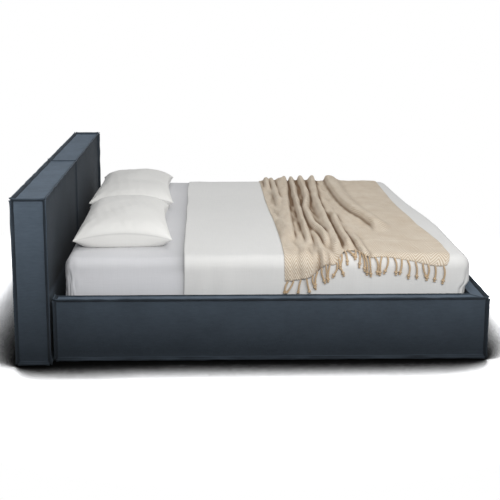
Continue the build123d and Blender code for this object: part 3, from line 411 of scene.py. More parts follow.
def metal(name, colour, metallic, roughness, texture, depth, sheen_axis=None):
    """Coated or bare metal: a small unevenness of its own, texture lumps to the metre, and a worn tone."""
    material, tree = start_material(name, colour, roughness, metallic)
    skin = place_of(tree, stretched(sheen_axis, 0.03)).noise(texture, 3.0, 0.6)
    shade = place_of(tree).noise(9.0, 3.0, 0.6).shades(colour, 0.82, 1.15)
    worn = skin.ramp(0.3, 0.7, roughness * 0.8, min(1.0, roughness * 1.25))
    return finish_material(material, shade, (skin, 0.25, depth), roughness=worn)


def moulded(name, colour, roughness):
    """Moulded plastic or rubber with a fine spark-eroded grain."""
    material, tree = start_material(name, colour, roughness, shine=0.4)
    place = place_of(tree)
    shade = place.noise(30.0, 2.0).shades(colour, 0.8, 1.3)
    return finish_material(material, shade, (place.noise(900.0, 2.0), 0.3, 0.0002))


def webbing(name, colour):
    """Flat woven strap: the product of ribs across it and cords along it."""
    material, tree = start_material(name, colour, 0.75, shine=0.3)
    place = place_of(tree)
    weave = place.stripes(0.0022, "Z") * place.stripes(0.0016, "Y")
    return finish_material(material, weave.shades(colour, 0.6, 1.8), (weave, 0.5, 0.0006))


# What a user would change


def colour_property(name, description, default):
    """A colour of the bed, in linear light."""
    return FloatVectorProperty(
        name=name, description=description, default=default, subtype="COLOR", min=0, max=1
    )


def length_property(name, description, default):
    """A length on the bed, in metres."""
    return FloatProperty(name=name, description=description, default=default, unit="LENGTH")


class BedColours(bpy.types.PropertyGroup):
    """Colours of the bed's cloths"""

    upholstery: colour_property("Upholstery", "Pile of the headboard and rails", (0.040, 0.052, 0.066))
    sheet: colour_property("Fitted sheet", "Cotton of the fitted sheet", (0.77, 0.77, 0.785))
    cover: colour_property("Cover", "Linen of the cover", (0.77, 0.765, 0.745))
    pillow: colour_property("Pillowcases", "Cotton of the pillowcases", (0.87, 0.862, 0.83))
    throw_dark: colour_property("Throw, dark rib", "Darker yarn of the throw", (0.50, 0.378, 0.257))
    throw_light: colour_property("Throw, light rib", "Lighter yarn of the throw", (0.80, 0.728, 0.615))
    tassel_dark: colour_property("Tassel, dark ply", "Darker ply of the tassels", (0.40, 0.26, 0.13))
    tassel_light: colour_property("Tassel, light ply", "Lighter ply of the tassels", (0.74, 0.58, 0.40))


class BedSizes(bpy.types.PropertyGroup):
    """Sizes of the bed's soft pieces"""

    flange: length_property("Seam flange", "How far a seam flange stands out of its edge", 0.0125)
    puff: length_property("Puff", "Rise of an upholstered face over its seams", 0.0068)
    fold_height: length_property("Fold height", "Measure of the throw's folds, which all grow with it", 0.030)
    rib: length_property("Twill rib", "Distance from one slanting rib of the throw to the next", 0.0125)
    rib_column: length_property("Twill column", "Width of one column of the herringbone", 0.034)
    border: length_property("Border", "Depth of the bolder border ahead of a hem of the throw", 0.27)
    tassels: IntProperty(name="Tassels", description="Tassels along one fringed edge", default=30, min=2)
    tassel_length: length_property("Tassel length", "Length of a tassel with its knot", 0.084)


# Upholstery: six puffed faces of a box between flanged seams

PANEL_STEP = 0.010
NARROW_FACE = 0.2
SEAM_PULL = 0.011
PUCKER_REACH = 0.030
PUCKER_LENGTH = 0.075
FLAT_PUFF = 0.0008
# Room for the flanges inside the solid's box, the gap at the headboard's foot and face, and at a rail's foot
FLANGE_ROOM = 0.0082
HEADBOARD_CLEAR = 0.003
RAIL_CLEAR = 0.005
# Half the gap at the middle joint, and how far a rail's cover stays off the well that the platform lies in
JOINT_GAP = 0.0022
WELL_GAP = 0.0012
# A low flange as a share of a full one, and how much further a full and a low flange stand out at a corner
LOW_FLANGE = 0.26
EAR = 0.004
LOW_EAR = 0.0012

# Each face by three corners, each a side along x, y and z: its origin, the end of its length, of its width
FACES = (
    ((0, 0, 0), (0, 1, 0), (0, 0, 1)),
    ((1, 0, 0), (1, 0, 1), (1, 1, 0)),
    ((0, 0, 0), (0, 0, 1), (1, 0, 0)),
    ((0, 1, 0), (1, 1, 0), (0, 1, 1)),
    ((0, 0, 0), (1, 0, 0), (0, 1, 0)),
    ((0, 0, 1), (0, 1, 1), (1, 0, 1)),
)
# Each edge by its axis and its side along the first and the second of the other axes
EDGES = tuple((axis, a, b) for axis in range(3) for a in (0, 1) for b in (0, 1))
# Half outline of a flange's section, outward and sideways in shares of its reach, from root to rim
FLANGE_HALF = ((-0.85, 0.0), (-0.5, 0.34), (0.0, 0.19), (0.35, 0.26), (0.75, 0.27), (0.97, 0.15), (1.0, 0.0))


def edges_where(test):
    """Numbers of the edges that pass a test of their axis and sides."""
    return [number for number, edge in enumerate(EDGES) if test(*edge)]


def box_corners(low, high):
    """The eight corners of a box by their low or high side along x, y and z."""
    return np.stack(np.meshgrid(*zip(low, high), indexing="ij"), -1)


def on_side(corners, left):
    """A box of the bed's left side as it is, or its mirror image on the right side."""
    return corners if left else (corners * (1, -1, 1))[:, ::-1]


def seam_spacing(length):
    """Shares from 0 to 1 for a face's grid: even, or crowded at the seams by a cosine on a narrow face."""
    even = np.linspace(0, 1, max(6, int(round(length / PANEL_STEP))) + 1)
    return 0.5 - 0.5 * np.cos(np.pi * even) if length < NARROW_FACE else even


def puffed_panel(origin, along, across, opposite, puff, seed):
    """One upholstered face between four corners.

    The flat patch is moved along its normal by the puff, broad waves and puckers that die out away from the
    seams. All of it rises from zero at the seams by one minus an exponential of the distance to each.
    """
    length, width = np.linalg.norm(along - origin), np.linalg.norm(across - origin)
    s, t = np.meshgrid(seam_spacing(length), seam_spacing(width), indexing="ij")
    to_ends, to_sides = np.minimum(s, 1 - s) * length, np.minimum(t, 1 - t) * width
    rise = (1 - np.exp(-to_ends / SEAM_PULL)) * (1 - np.exp(-to_sides / SEAM_PULL))
    pucker = np.exp(-to_sides / PUCKER_REACH) * ripples(s * length, 0 * t, seed, PUCKER_LENGTH)
    pucker += np.exp(-to_ends / PUCKER_REACH) * ripples(0 * s, t * width, seed + 1, PUCKER_LENGTH)
    broad = ripples(s * length, t * width, seed + 2, 0.42)
    height = rise * (puff + 0.0010 * broad + 0.0011 * pucker)
    normal = np.cross(along - origin, across - origin)
    normal /= np.linalg.norm(normal)
    # U is the distance to the nearest seam, by which the velvet paints shade into the seams.
    coords = np.stack([np.minimum(to_ends, to_sides), s * length], -1)
    s, t, height = s[..., None], t[..., None], height[..., None]
    flat = (1 - s) * (1 - t) * origin + s * (1 - t) * along + (1 - s) * t * across + s * t * opposite
    return (flat + normal * height)[::-1], coords[::-1]


def flange_strip(start, end, outward, reach, seed, ear):
    """One seam flange: a flat pinched band that stands out along outward, carried from corner to corner.

    The band's section is a fixed outline in (outward, sideways). Along the seam it leans and swells by seeded
    waves, and it grows a little towards both corners, where three flanges meet in an ear.
    """
    length = np.linalg.norm(end - start)
    way = (end - start) / length
    overlap = 0.0012
    steps = max(10, int(round(length / PANEL_STEP)))
    s = np.concatenate([[-overlap], np.linspace(0, length, steps), [length + overlap]])
    section = np.array(FLANGE_HALF + tuple((out, -side) for out, side in FLANGE_HALF[-2:0:-1]))
    to_end = np.maximum(np.minimum(s, length - s), 0)
    swell = 1 + 0.06 * ripples(s, s * 0, seed, 0.11) + ear / reach * np.exp(-to_end / 0.010)
    lean = 0.10 * ripples(s, s * 0, seed + 1, 0.16)
    close = np.where((s < 0) | (s > length), 0.35, 1.0)[:, None]
    out = section[:, 0] * reach * swell[:, None] * np.where(section[:, 0] > 0, close, 1)
    sideways = section[:, 1] * reach * close + out * lean[:, None]
    side = np.cross(way, outward)
    ring = start + s[:, None, None] * way + out[..., None] * outward + sideways[..., None] * side
    # U across the flange stays close to the seam, so the velvet paints the whole flange dark with painted
    # shade.
    from_seam = 0.0015 + 0.006 * np.maximum(np.append(section[:, 0], section[0, 0]) - 0.3, 0)
    return ring, np.stack(np.meshgrid(from_seam, s), -1)


def upholstered_box(name, replaced, corners, material, seed, puffs, small, none=()):
    """A padded box of six puffed faces, with a flange on each edge: a low one if in small, none if in none.

    A face has the puff that puffs holds for its number, or else the usual one.
    """
    sizes = bpy.context.scene.bed_sizes
    centre = corners.reshape(-1, 3).mean(0)
    grids = []
    for number, (origin, along, across) in enumerate(FACES):
        opposite = tuple(along[i] + across[i] - origin[i] for i in range(3))
        ends = [corners[corner] for corner in (origin, along, across, opposite)]
        patch, uv = puffed_panel(*ends, puffs.get(number, sizes.puff), seed + 10 * number)
        grids.append((patch, False, uv))
    for number, (axis, a, b) in enumerate(EDGES):
        if number in none:
            continue
        sides = [a, b]
        start, end = (corners[(*sides[:axis], ending, *sides[axis:])] for ending in (0, 1))
        way = (end - start) / np.linalg.norm(end - start)
        outward = np.sign((start + end) / 2 - centre)
        outward[axis] = 0
        outward -= way * (outward @ way)
        outward /= np.linalg.norm(outward)
        share, ear = (LOW_FLANGE, LOW_EAR) if number in small else (1.0, EAR)
        ring, uv = flange_strip(start, end, outward, sizes.flange * share, seed + 200 + 7 * number, ear)
        grids.append((ring, True, uv))
    piece = make_piece(name, *join_grids(grids), BASE_BODY, material)
    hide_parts(replaced)


class BED_OT_upholstery(bpy.types.Operator):
    """Headboard boxes and rails, puffed between seam flanges"""

    bl_idname = "bed.upholstery"
    bl_label = "Make the upholstery"

    def execute(self, context):
        material = velvet("slate_velvet_pile", context.scene.bed_colours.upholstery[:])
        for name, inner in (("left", 1), ("right", 0)):
            corners = box_corners(
                np.array(HEADBOARD_LOW) + (FLANGE_ROOM, FLANGE_ROOM, HEADBOARD_CLEAR),
                (HEADBOARD_HIGH.x - FLANGE_ROOM, -JOINT_GAP, HEADBOARD_HIGH.z - FLANGE_ROOM),
            )
            joint = edges_where(lambda axis, a, b: (axis == 0 and a == inner) or (axis == 2 and b == inner))
            upholstered_box(
                f"headboard_cover_{name}", f"headboard_section_{name}", on_side(corners, inner), material,
                1000 + 500 * inner, {2 + inner: FLAT_PUFF}, small=joint,
            )
            corners = box_corners(
                np.array(RAIL_LOW) + (HEADBOARD_CLEAR, FLANGE_ROOM, RAIL_CLEAR),
                np.array(RAIL_HIGH) - (FLANGE_ROOM, WELL_GAP, FLANGE_ROOM),
            )
            depth = corners[0, 1, 0, 1] - corners[0, 0, 0, 1]
            corners[1, 1, :, 0] -= depth
            upholstered_box(
                f"side_rail_cover_{name}", f"side_rail_{name}", on_side(corners, inner), material,
                3000 + 500 * inner, {2 + inner: FLAT_PUFF, 1: 0.0},
                small=edges_where(lambda axis, a, b: axis == 0 and a == inner),
                none=edges_where(lambda axis, a, b: a == 1 and (axis == 1 or (axis == 2 and b == inner))),
            )
        corners = box_corners(
            np.array(FOOT_LOW) + (WELL_GAP, FLANGE_ROOM, RAIL_CLEAR), np.array(FOOT_HIGH) - FLANGE_ROOM
        )
        depth = corners[1, 0, 0, 0] - corners[0, 0, 0, 0]
        corners[0, 0, :, 1] += depth
        corners[0, 1, :, 1] -= depth
        upholstered_box(
            "foot_rail_cover", "foot_rail", corners, material, 5000, {0: FLAT_PUFF, 2: 0.0, 3: 0.0},
            small=edges_where(lambda axis, a, b: axis == 1 and a == 0),
            none=edges_where(lambda axis, a, b: axis != 1),
        )
        return {"FINISHED"}


# Bedding: sheets wrapped over the mattress

CLOTH_STEP = 0.012
SHEET_THICKNESS = 0.0012
COVER_THICKNESS = 0.0022
THROW_THICKNESS = 0.0028
# The cover's head edge: the radius of its rolled fold, its slant from the near side to the far one, its place
# ahead of the solid's and its bow, which all fade out over a length of cloth
ROLL_RADIUS = 0.0045
COVER_SLANT = 0.018
COVER_AHEAD = 0.016
COVER_BOW = 0.004
COVER_FADE = 0.5
# Rise of the bedding's far edge, and how far its foot end draws in and down at the far corner
FAR_RISE = 0.022
FOOT_DRAW = 0.085
FOOT_DROP = 0.006
# How far the foot end stands out at the near corner, low down, and how much further above the rails
FOOT_STAND = 0.006
FOOT_SWELL = 0.020


class Block:
    """The soft block that a sheet is wrapped over: plan limits, top, and its edge and corner radii."""

    def __init__(self, low, high, top, edge, corner):
        self.low, self.high = np.array(low), np.array(high)
        self.top, self.edge, self.corner = top, edge, corner

    def wrap(self, x, y):
        """Where flat cloth at (x, y) comes to lie, and the outward normal there.

        The flat point is split into its nearest point of the inner rectangle and an overhang. The overhang
        runs on along the top, then round the edge in a quarter circle, then straight down.
        """
        flat_place = np.stack([x, y], -1)
        near = np.clip(flat_place, self.low + self.corner, self.high - self.corner)
        over = flat_place - near
        reach = np.abs(over).max(-1)
        way = over / np.maximum(np.linalg.norm(over, axis=-1, keepdims=True), 1e-9)
        flat = self.corner - self.edge
        turn = np.clip((reach - flat) / self.edge, 0, np.pi / 2)
        drop = np.maximum(reach - flat - self.edge * np.pi / 2, 0)
        plan = near + way * (np.minimum(reach, flat) + self.edge * np.sin(turn))[..., None]
        height = self.top - self.edge * (1 - np.cos(turn)) - drop
        normal = np.concatenate([way * np.sin(turn)[..., None], np.cos(turn)[..., None]], -1)
        return np.concatenate([plan, height[..., None]], -1), normal

    def hang(self, height):
        """Cloth beyond the block's plan that reaches down to that height: round the edge, then straight."""
        return self.edge * (np.pi / 2 - 1) + self.top - height

    def flat_y(self, height):
        """Flat distance from the middle at which cloth on the near or far side hangs at that height."""
        return self.high[1] - self.edge + self.hang(height)


SHEET_BLOCK = Block(
    (MATTRESS_LOW.x + 0.001, MATTRESS_LOW.y + 0.004), (MATTRESS_HIGH.x - 0.004, MATTRESS_HIGH.y - 0.004),
    top=MATTRESS_HIGH.z + SHEET_THICKNESS, edge=0.048, corner=0.060,
)
COVER_BLOCK = Block(
    (MATTRESS_LOW.x - 0.2, MATTRESS_LOW.y - 0.0035), (MATTRESS_HIGH.x + 0.0055, MATTRESS_HIGH.y + 0.0035),
    top=COVER_HIGH.z - 0.0005, edge=0.058, corner=0.070,
)


def foot_shape(points):
    """Softens the bedding: its far edge stands up a little, and the foot end draws in towards the far corner.

    Both come in by smooth ramps: over the last part of the length, and from the near side to the far one.
    """
    x, y, z = points[..., 0], points[..., 1], points[..., 2]
    share = smooth_step(x, 0.70, MATTRESS_HIGH.x)
    far = smooth_step(y, -0.45, 1.15)
    stand = FOOT_STAND + FOOT_SWELL * smooth_step(z, 0.335, 0.375)
    points[..., 0] = x + share * (stand * (1 - far) - FOOT_DRAW * far)
    rise = FAR_RISE * smooth_step(y, 0.35, 0.85) - FOOT_DROP * share**2 * far
    points[..., 2] = z + rise * smooth_step(z, 0.30, 0.50)
    return points


def cover_relief(x, y):
    """How far the cover's cloth stands off its block: broad waves on top, hanging folds on the sides."""
    side = smooth_step(np.abs(y), 0.86, 0.96)
    waves = 0.0016 * ripples(x, y, 31, 0.55) + 0.0007 * ripples(x, y, 32, 0.16)
    hanging = 0.0022 * ripples(x, y * 0.15, 33, 0.15) * side
    return waves * (1 - 0.6 * side) + hanging


def mattress_points():
    """The mattress's skin: a rounded rectangle of superellipse shape, carried up a piped and rounded profile.

    The profile's rows are a share of the half sizes and a height. The pipe stands out at the lower edge.
    """
    inset, power, around = 0.006, 0.07, 320
    low, high = np.array(MATTRESS_LOW), np.array(MATTRESS_HIGH)
    middle, half = (low + high)[:2] / 2, (high - low)[:2] / 2 - inset
    angle = np.linspace(0, 2 * np.pi, around, endpoint=False)
    plan = np.stack([np.cos(angle), np.sin(angle)], -1)
    plan = np.sign(plan) * np.abs(plan) ** power * half
    bottom, top = low[2], high[2] - inset
    profile = np.array(
        [(0.0, bottom + 0.001), (0.35, bottom + 0.001), (0.7, bottom + 0.001), (0.955, bottom + 0.0006),
         (0.985, bottom + 0.003), (0.9965, bottom + 0.009), (1.0035, bottom + 0.013),
         (1.0035, bottom + 0.019), (0.997, bottom + 0.023), (0.996, bottom + 0.09), (0.997, top - 0.08),
         (0.997, top - 0.03), (0.99, top - 0.012), (0.975, top - 0.003), (0.7, top), (0.0, top)]
    )
    height = np.broadcast_to(profile[:, 1:, None], (len(profile), around, 1))
    return foot_shape(np.concatenate([middle + plan[None] * profile[:, :1, None], height], -1))


def sheet_points(x, y):
    """The fitted sheet: flat cloth wrapped over its block, with waves, drawn corners and head creases."""
    points, normal = SHEET_BLOCK.wrap(x, y)
    corner = smooth_step(np.abs(x - 0.06), 0.86, 1.0) * smooth_step(np.abs(y), 0.78, 0.92)
    head = smooth_step(-x, 0.30, 0.5) * smooth_step(0.60 - np.abs(y), 0, 0.3)
    relief = 0.0013 * ripples(x, y, 21, 0.35) + 0.0030 * ripples(x - y, x + y, 22, 0.11) * corner
    relief += 0.0024 * ripples(x, y, 24, 0.20) * head
    side = np.maximum(np.abs(y) - 0.87, np.abs(x - 0.06) - 0.97)
    relief = np.where(side > 0, np.clip(relief, -0.004, 0.0022), relief)
    return foot_shape(points + normal * relief[..., None])


class BED_OT_mattress(bpy.types.Operator):
    """Mattress body with its piped edge, and the fitted sheet over it"""

    bl_idname = "bed.mattress"
    bl_label = "Make the mattress and fitted sheet"

    def execute(self, context):
        ticking = plain_weave("mattress_ticking", (0.72, 0.72, 0.71), thread=900.0, slub=160.0, contrast=0.05)
        body = grid_piece("mattress_body", mattress_points(), closed=True, body=LIFT_BODY, material=ticking)
        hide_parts("mattress")

        colour = context.scene.bed_colours.sheet[:]
        # The under mark paints shade on the sheet.
        cotton = plain_weave(
            "fitted_sheet_cotton", colour, thread=1100.0, slub=240.0, contrast=0.02, painted_shade_mark="under"
        )
        hang = SHEET_BLOCK.hang(MATTRESS_LOW.z) - 0.004
        low, high = SHEET_BLOCK.low - hang, SHEET_BLOCK.high + hang + CLOTH_STEP
        x, y = np.arange(low[0], high[0], CLOTH_STEP), np.arange(low[1], high[1], CLOTH_STEP)
        flat = np.meshgrid(x, y, indexing="ij")
        points = sheet_points(*flat)
        sheet = grid_piece("fitted_sheet_cloth", points, np.stack(flat, -1), body=LIFT_BODY, material=cotton)
        # Painted shade on the sheet: darker next to the cover's folded edge and over the whole top, most near
        # the fold.
        before_fold = np.maximum(COVER_LOW.x - points[..., 0], 0)
        on_top = smooth_step(points[..., 2], 0.40, 0.49)
        under = 0.55 * np.exp(-before_fold / 0.018) + (0.14 + 0.28 * np.exp(-before_fold / 0.10)) * on_top
        mark_points(sheet, "under", under)
        modify(sheet, "SOLIDIFY", thickness=SHEET_THICKNESS, offset=-1)
        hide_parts("fitted_sheet")
        return {"FINISHED"}


class BED_OT_cover(bpy.types.Operator):
    """Cover from its rolled head edge over the foot and both sides"""

    bl_idname = "bed.cover"
    bl_label = "Make the cover"

    def execute(self, context):
        colour = context.scene.bed_colours.cover[:]
        linen = plain_weave("cover_linen_weave", colour, thread=800.0, slub=230.0, contrast=0.018)
        block, head, roll = COVER_BLOCK, COVER_LOW.x, ROLL_RADIUS
        hang = block.hang(COVER_LOW.z)
        foot = block.high[0] + hang
        turn = np.linspace(-np.pi / 2, np.pi / 2, 7)
        x_top = np.concatenate([[head + 0.010], np.arange(head + 0.020, foot, CLOTH_STEP), [foot]])
        x = np.concatenate([[head + 0.05, head + 0.025], head + roll - roll * np.cos(turn), x_top])
        lift = np.concatenate([[-2 * roll, -2 * roll], -roll + roll * np.sin(turn), np.zeros(len(x_top))])
        columns = int((block.high[1] - block.low[1] + 2 * hang) / CLOTH_STEP)
        y = np.linspace(block.low[1] - hang, block.high[1] + hang, columns)
        gx, gy = np.meshgrid(x, y, indexing="ij")
        points, normal = block.wrap(gx, gy)
        points += normal * (cover_relief(gx, gy) + lift[:, None])[..., None]
        slant = COVER_SLANT * smooth_step(-gy, -0.9, 0.9) - COVER_AHEAD
        bow = COVER_BOW * ripples(gy, gy * 0, 35, 0.5)
        points[..., 0] += (slant + bow) * (1 - smooth_step(gx, head, head + COVER_FADE))
        coords = np.stack([gx, gy], -1)
        cloth = grid_piece("cover_cloth", foot_shape(points), coords, body=LIFT_BODY, material=linen)
        modify(cloth, "SOLIDIFY", thickness=COVER_THICKNESS, offset=-1)
        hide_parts("cover_sheet")
        return {"FINISHED"}


# Pillows: two layers sewn at the edge, the upper one a dome and the lower one flat on the sheet

SEAM_CORNER = 0.044
SEAM_MIDDLE = 0.080
DOME_POWER = 0.42
LOWER_CURVE = 0.15
PILLOW_WIDTH = 0.522
SIDE_DRAW = 0.030
END_DRAW = 0.012
CREASE_HEIGHT = 0.008
CREASE_TURNS = 17
PILLOW_NARROWING = 0.085
PILLOW_CLEAR = 0.0015
PLUMP_FRAMES = 14
PLUMP_PRESSURE = 30.0
PLUMP_CAP = 0.009
# Each pillow's name, middle on the bed, length, height, its far corners' rise, its turn and its seed
PILLOWS = (
    ("pillow_left", (-0.676, -0.370), 0.715, 0.153, 0.014, 0.036, 61),
    ("pillow_right", (-0.697, 0.475), 0.690, 0.134, 0.0, 0.010, 63),
)


def plumped(piece, rest):
    """Blows a closed cloth up for some frames without gravity, and gives its points where it then stands.

    No point moves further than PLUMP_CAP from its first place, and none goes under the rest height.
    """
    scene = bpy.context.scene
    first = np.zeros(len(piece.data.vertices) * 3, np.float32)
    piece.data.vertices.foreach_get("co", first)
    cloth = piece.modifiers.new("Cloth", "CLOTH")
    settings = cloth.settings
    settings.quality = 5
    settings.mass = 0.02
    settings.tension_stiffness = 15
    settings.compression_stiffness = 15
    settings.shear_stiffness = 5
    settings.bending_stiffness = 0.6
    settings.use_pressure = True
    settings.uniform_pressure_force = PLUMP_PRESSURE
    settings.effector_weights.gravity = 0.0
    cloth.point_cache.frame_start = 1
    cloth.point_cache.frame_end = PLUMP_FRAMES
    for number in range(1, PLUMP_FRAMES + 1):
        scene.frame_set(number)
    blown = piece.evaluated_get(bpy.context.evaluated_depsgraph_get())
    last = np.zeros_like(first)
    blown.data.vertices.foreach_get("co", last)
    piece.modifiers.remove(cloth)
    scene.frame_set(1)
    first, last = first.reshape(-1, 3).astype(float), last.reshape(-1, 3).astype(float)
    move = last - first
    distance = np.linalg.norm(move, axis=1, keepdims=True)
    points = first + move * (PLUMP_CAP * np.tanh(distance / PLUMP_CAP) / np.maximum(distance, 1e-9))
    points[:, 2] = np.maximum(points[:, 2], rest)
    return points


def pillow_layers(length, height, seed):
    """Two layers that meet at the border seam, lying on z = 0.

    The seam runs at SEAM_CORNER over the ground at the corners and at SEAM_MIDDLE halfway along each side,
    and each side is drawn in by one minus the square of the place along it. Above it the pillow is a dome:
    one minus the square of the place across times the same along, made fuller by a power, with creases that
    run out to the corners. Below it the layer curves in by a quarter of an ellipse and then lies flat.
    """
    rows, columns = 65, 85
    u = np.sin(np.linspace(-1, 1, rows) * np.pi / 2)[:, None] * np.ones(columns)
    v = np.ones(rows)[:, None] * np.sin(np.linspace(-1, 1, columns) * np.pi / 2)
    x = u * (PILLOW_WIDTH / 2 - SIDE_DRAW * (1 - v**2))
    y = v * (length / 2 - END_DRAW * (1 - u**2))
    inside = (1 - u**2) * (1 - v**2)
    seam_height = SEAM_CORNER + (SEAM_MIDDLE - SEAM_CORNER) * (1 - u**2 * v**2)
    dome = inside**DOME_POWER
    corner = np.abs(u * v) ** 3 * np.minimum(inside * 9, 1)
    phase = 2.1 * np.sign(u) + 1.3 * np.sign(v) + seed
    crease = corner * np.sin(CREASE_TURNS * (np.abs(u) - np.abs(v)) + phase)
    uneven = ripples(x, y, seed, 0.34) * 0.0045 + ripples(x * 1.6, y, seed + 1, 0.12) * 0.0012
    upper = seam_height + (height - SEAM_MIDDLE + uneven) * dome + CREASE_HEIGHT * crease
    lower = seam_height * (1 - np.sqrt(1 - (1 - np.clip(inside / LOWER_CURVE, 0, 1)) ** 2))
    faces, corners = grid_faces(rows, columns)
    number = np.arange(rows * columns)
    edge = (inside < 1e-9).ravel()
    sewn = np.concatenate([number, np.where(edge, number, number + len(number))])
    faces = np.concatenate([faces[:, ::-1], sewn[faces + len(number)]])
    coords = np.stack([u * PILLOW_WIDTH / 2, v * length / 2], -1)[corners]
    coords = np.concatenate([coords[:, ::-1], coords])
    points = np.stack([np.tile(x.ravel(), 2), np.tile(y.ravel(), 2), np.append(upper, lower)], -1)
    used, faces = np.unique(faces, return_inverse=True)
    return points[used], faces.reshape(-1, 4), coords, np.tile(edge, 2)[used]


class BED_OT_pillows(bpy.types.Operator):
    """Both pillows, full domes on the sheet with a seam round their middle"""

    bl_idname = "bed.pillows"
    bl_label = "Make the pillows"

    def execute(self, context):
        colour = context.scene.bed_colours.pillow[:]
        # The seam mark paints shade on the pillowcases.
        cotton = plain_weave(
            "pillowcase_cotton", colour, thread=1100.0, slub=260.0, contrast=0.012,
            source="UV", painted_shade_mark="seam",
        )
        rest = SHEET_BLOCK.top + PILLOW_CLEAR
        for name, middle, length, height, rise, turn, seed in PILLOWS:
            points, faces, coords, on_seam = pillow_layers(length, height, seed)
            far = smooth_step(points[:, 1], -length / 2, length / 2)
            points[:, 0] *= 1 - PILLOW_NARROWING * far
            points[:, 2] += rise * far * np.clip(points[:, 2] / SEAM_CORNER, 0, 1)
            c, s = np.cos(turn), np.sin(turn)
            points = points @ np.array([[c, s, 0], [-s, c, 0], [0, 0, 1]])
            points += (*middle, rest)
            piece = make_piece(f"{name}_case", points, faces, coords, material=cotton)
            points = plumped(piece, rest)
            points[:, 2] += FAR_RISE * smooth_step(points[:, 1], 0.35, 0.85)
            piece.data.vertices.foreach_set("co", points.astype(np.float32).ravel())
            # Painted shade: darker at the seam and on the top of the dome.
            painted_crown_shade = 0.15 * smooth_step(points[:, 2] - rest, 0.55 * height, height)
            mark_points(piece, "seam", np.where(on_seam, 0.22, painted_crown_shade))
            modify(piece, "SUBSURF", levels=1, render_levels=1)
            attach(piece, LIFT_BODY)
            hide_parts(name)
        return {"FINISHED"}


# Throw


class Fold:
    """One long fold: its height, its width on either side of its crest, and the crest's course."""

    def __init__(self, height, left, right, course, start=2.0, end=-2.0):
        self.height, self.left, self.right, self.start, self.end = height, left, right, start, end
        self.course = sorted((y, x) for x, y in course)

    def lift(self, x, y):
        """The fold's rise at (x, y): a bell over the distance to its crest, faded at both its ends."""
        off = x - curve_through(self.course, y)
        width = np.where(off < 0, self.left, self.right)
        fade = smooth_step(self.start - y, 0, 0.25) * smooth_step(y - self.end, 0, 0.22)
        return self.height * fade * np.exp(-np.abs(off / width) ** 2.6)


# The throw's side edges: x on the bed by the flat distance across it
THROW_LEFT = (
    (-1.1, 0.165), (-0.93, 0.155), (-0.63, 0.158), (-0.28, 0.152), (0.13, 0.135), (0.66, 0.121), (1.1, 0.105)
)
THROW_RIGHT = (
    (-1.1, 0.79), (-0.96, 0.890), (-0.945, 0.920), (-0.925, 0.942), (-0.895, 0.957), (-0.85, 0.965),
    (-0.69, 0.965), (-0.49, 0.954), (-0.22, 0.934), (0.12, 0.936), (0.51, 0.955), (1.1, 0.985),
)
# Each fold's height, width on the left and on the right, and its crest's course by (x, y) on the bed
THROW_FOLDS = (
    Fold(0.030, 0.013, 0.018, [(0.150, 1.1), (0.158, 0.90), (0.160, 0.6)], end=0.55),
    Fold(0.026, 0.014, 0.014, [(0.188, 1.1), (0.196, 0.86), (0.203, 0.5), (0.205, 0.1)], end=0.10),
    Fold(
        0.034, 0.050, 0.013,
        [(0.285, 1.1), (0.284, 0.81), (0.261, 0.385), (0.239, -0.025), (0.227, -0.38), (0.215, -0.72)],
        end=-0.66,
    ),
    Fold(
        0.038, 0.012, 0.017,
        [(0.336, 1.1), (0.324, 0.61), (0.314, 0.21), (0.305, -0.14), (0.303, -0.38), (0.303, -0.67)],
        end=-0.70,
    ),
    Fold(
        0.040, 0.015, 0.020,
        [(0.385, 1.1), (0.393, 0.81), (0.392, 0.43), (0.352, 0.05), (0.356, -0.28), (0.385, -0.48),
         (0.391, -0.64)],
        end=-0.80,
    ),
    Fold(
        0.044, 0.028, 0.014,
        [(0.487, 1.1), (0.471, 0.756), (0.45, 0.337), (0.442, -0.03), (0.440, -0.35), (0.441, -0.67),
         (0.437, -0.815)],
        end=-0.90,
    ),
    Fold(
        0.044, 0.018, 0.055,
        [(0.577, 1.1), (0.583, 0.70), (0.60, 0.38), (0.625, 0.085), (0.668, -0.108), (0.709, -0.288)],
        end=-0.46,
    ),
    Fold(
        0.034, 0.014, 0.020, [(0.50, 0.0), (0.492, -0.4), (0.500, -0.70), (0.505, -0.85)],
        start=0.10, end=-0.86,
    ),
    Fold(
        0.022, 0.012, 0.020, [(0.353, -0.2), (0.345, -0.6), (0.352, -0.95), (0.35, -1.1)],
        start=-0.35, end=-1.4,
    ),
    Fold(
        0.010, 0.022, 0.022, [(0.265, -0.2), (0.260, -0.6), (0.262, -0.95), (0.26, -1.1)],
        start=-0.5, end=-1.4,
    ),
    Fold(
        0.026, 0.012, 0.022, [(0.540, -0.3), (0.548, -0.7), (0.556, -0.9), (0.56, -1.0)],
        start=-0.38, end=-1.3,
    ),
)
FOLD_LIMIT = 0.056
FOLD_MEASURE = 0.030  # The fold height at which the folds above have the heights that they give
THROW_CLEAR = 0.0042
# The near hem's height on the bed's side, or its distance from the middle where it lies on top: (x, flat y)
HEM_SIDE = ((0.150, 0.384), (0.190, 0.387), (0.262, 0.400), (0.314, 0.428), (0.359, 0.465))
HEM_TOP = ((0.400, -0.918), (0.440, -0.868), (0.484, -0.806), (0.522, -0.822), (0.560, -0.888))
HEM_SIDE_RIGHT = (
    (0.640, 0.502), (0.769, 0.484), (0.846, 0.466), (0.905, 0.456), (0.935, 0.458), (0.975, 0.475)
)
FAR_HANG = 0.42
# Tassels: the cord's radius and its turns, how far it lies off the cover, how much further halfway, how far off
# the rail, and how those within a share of the hem from its left corner swing to the left
TASSEL_RADIUS = 0.0054
TASSEL_TURNS = 5.5
TASSEL_CLEAR = 0.0078
TASSEL_ARCH = 0.0035
TASSEL_OFF_RAIL = 0.006
CORNER_SHARE = 0.08
CORNER_SWAY = 0.45


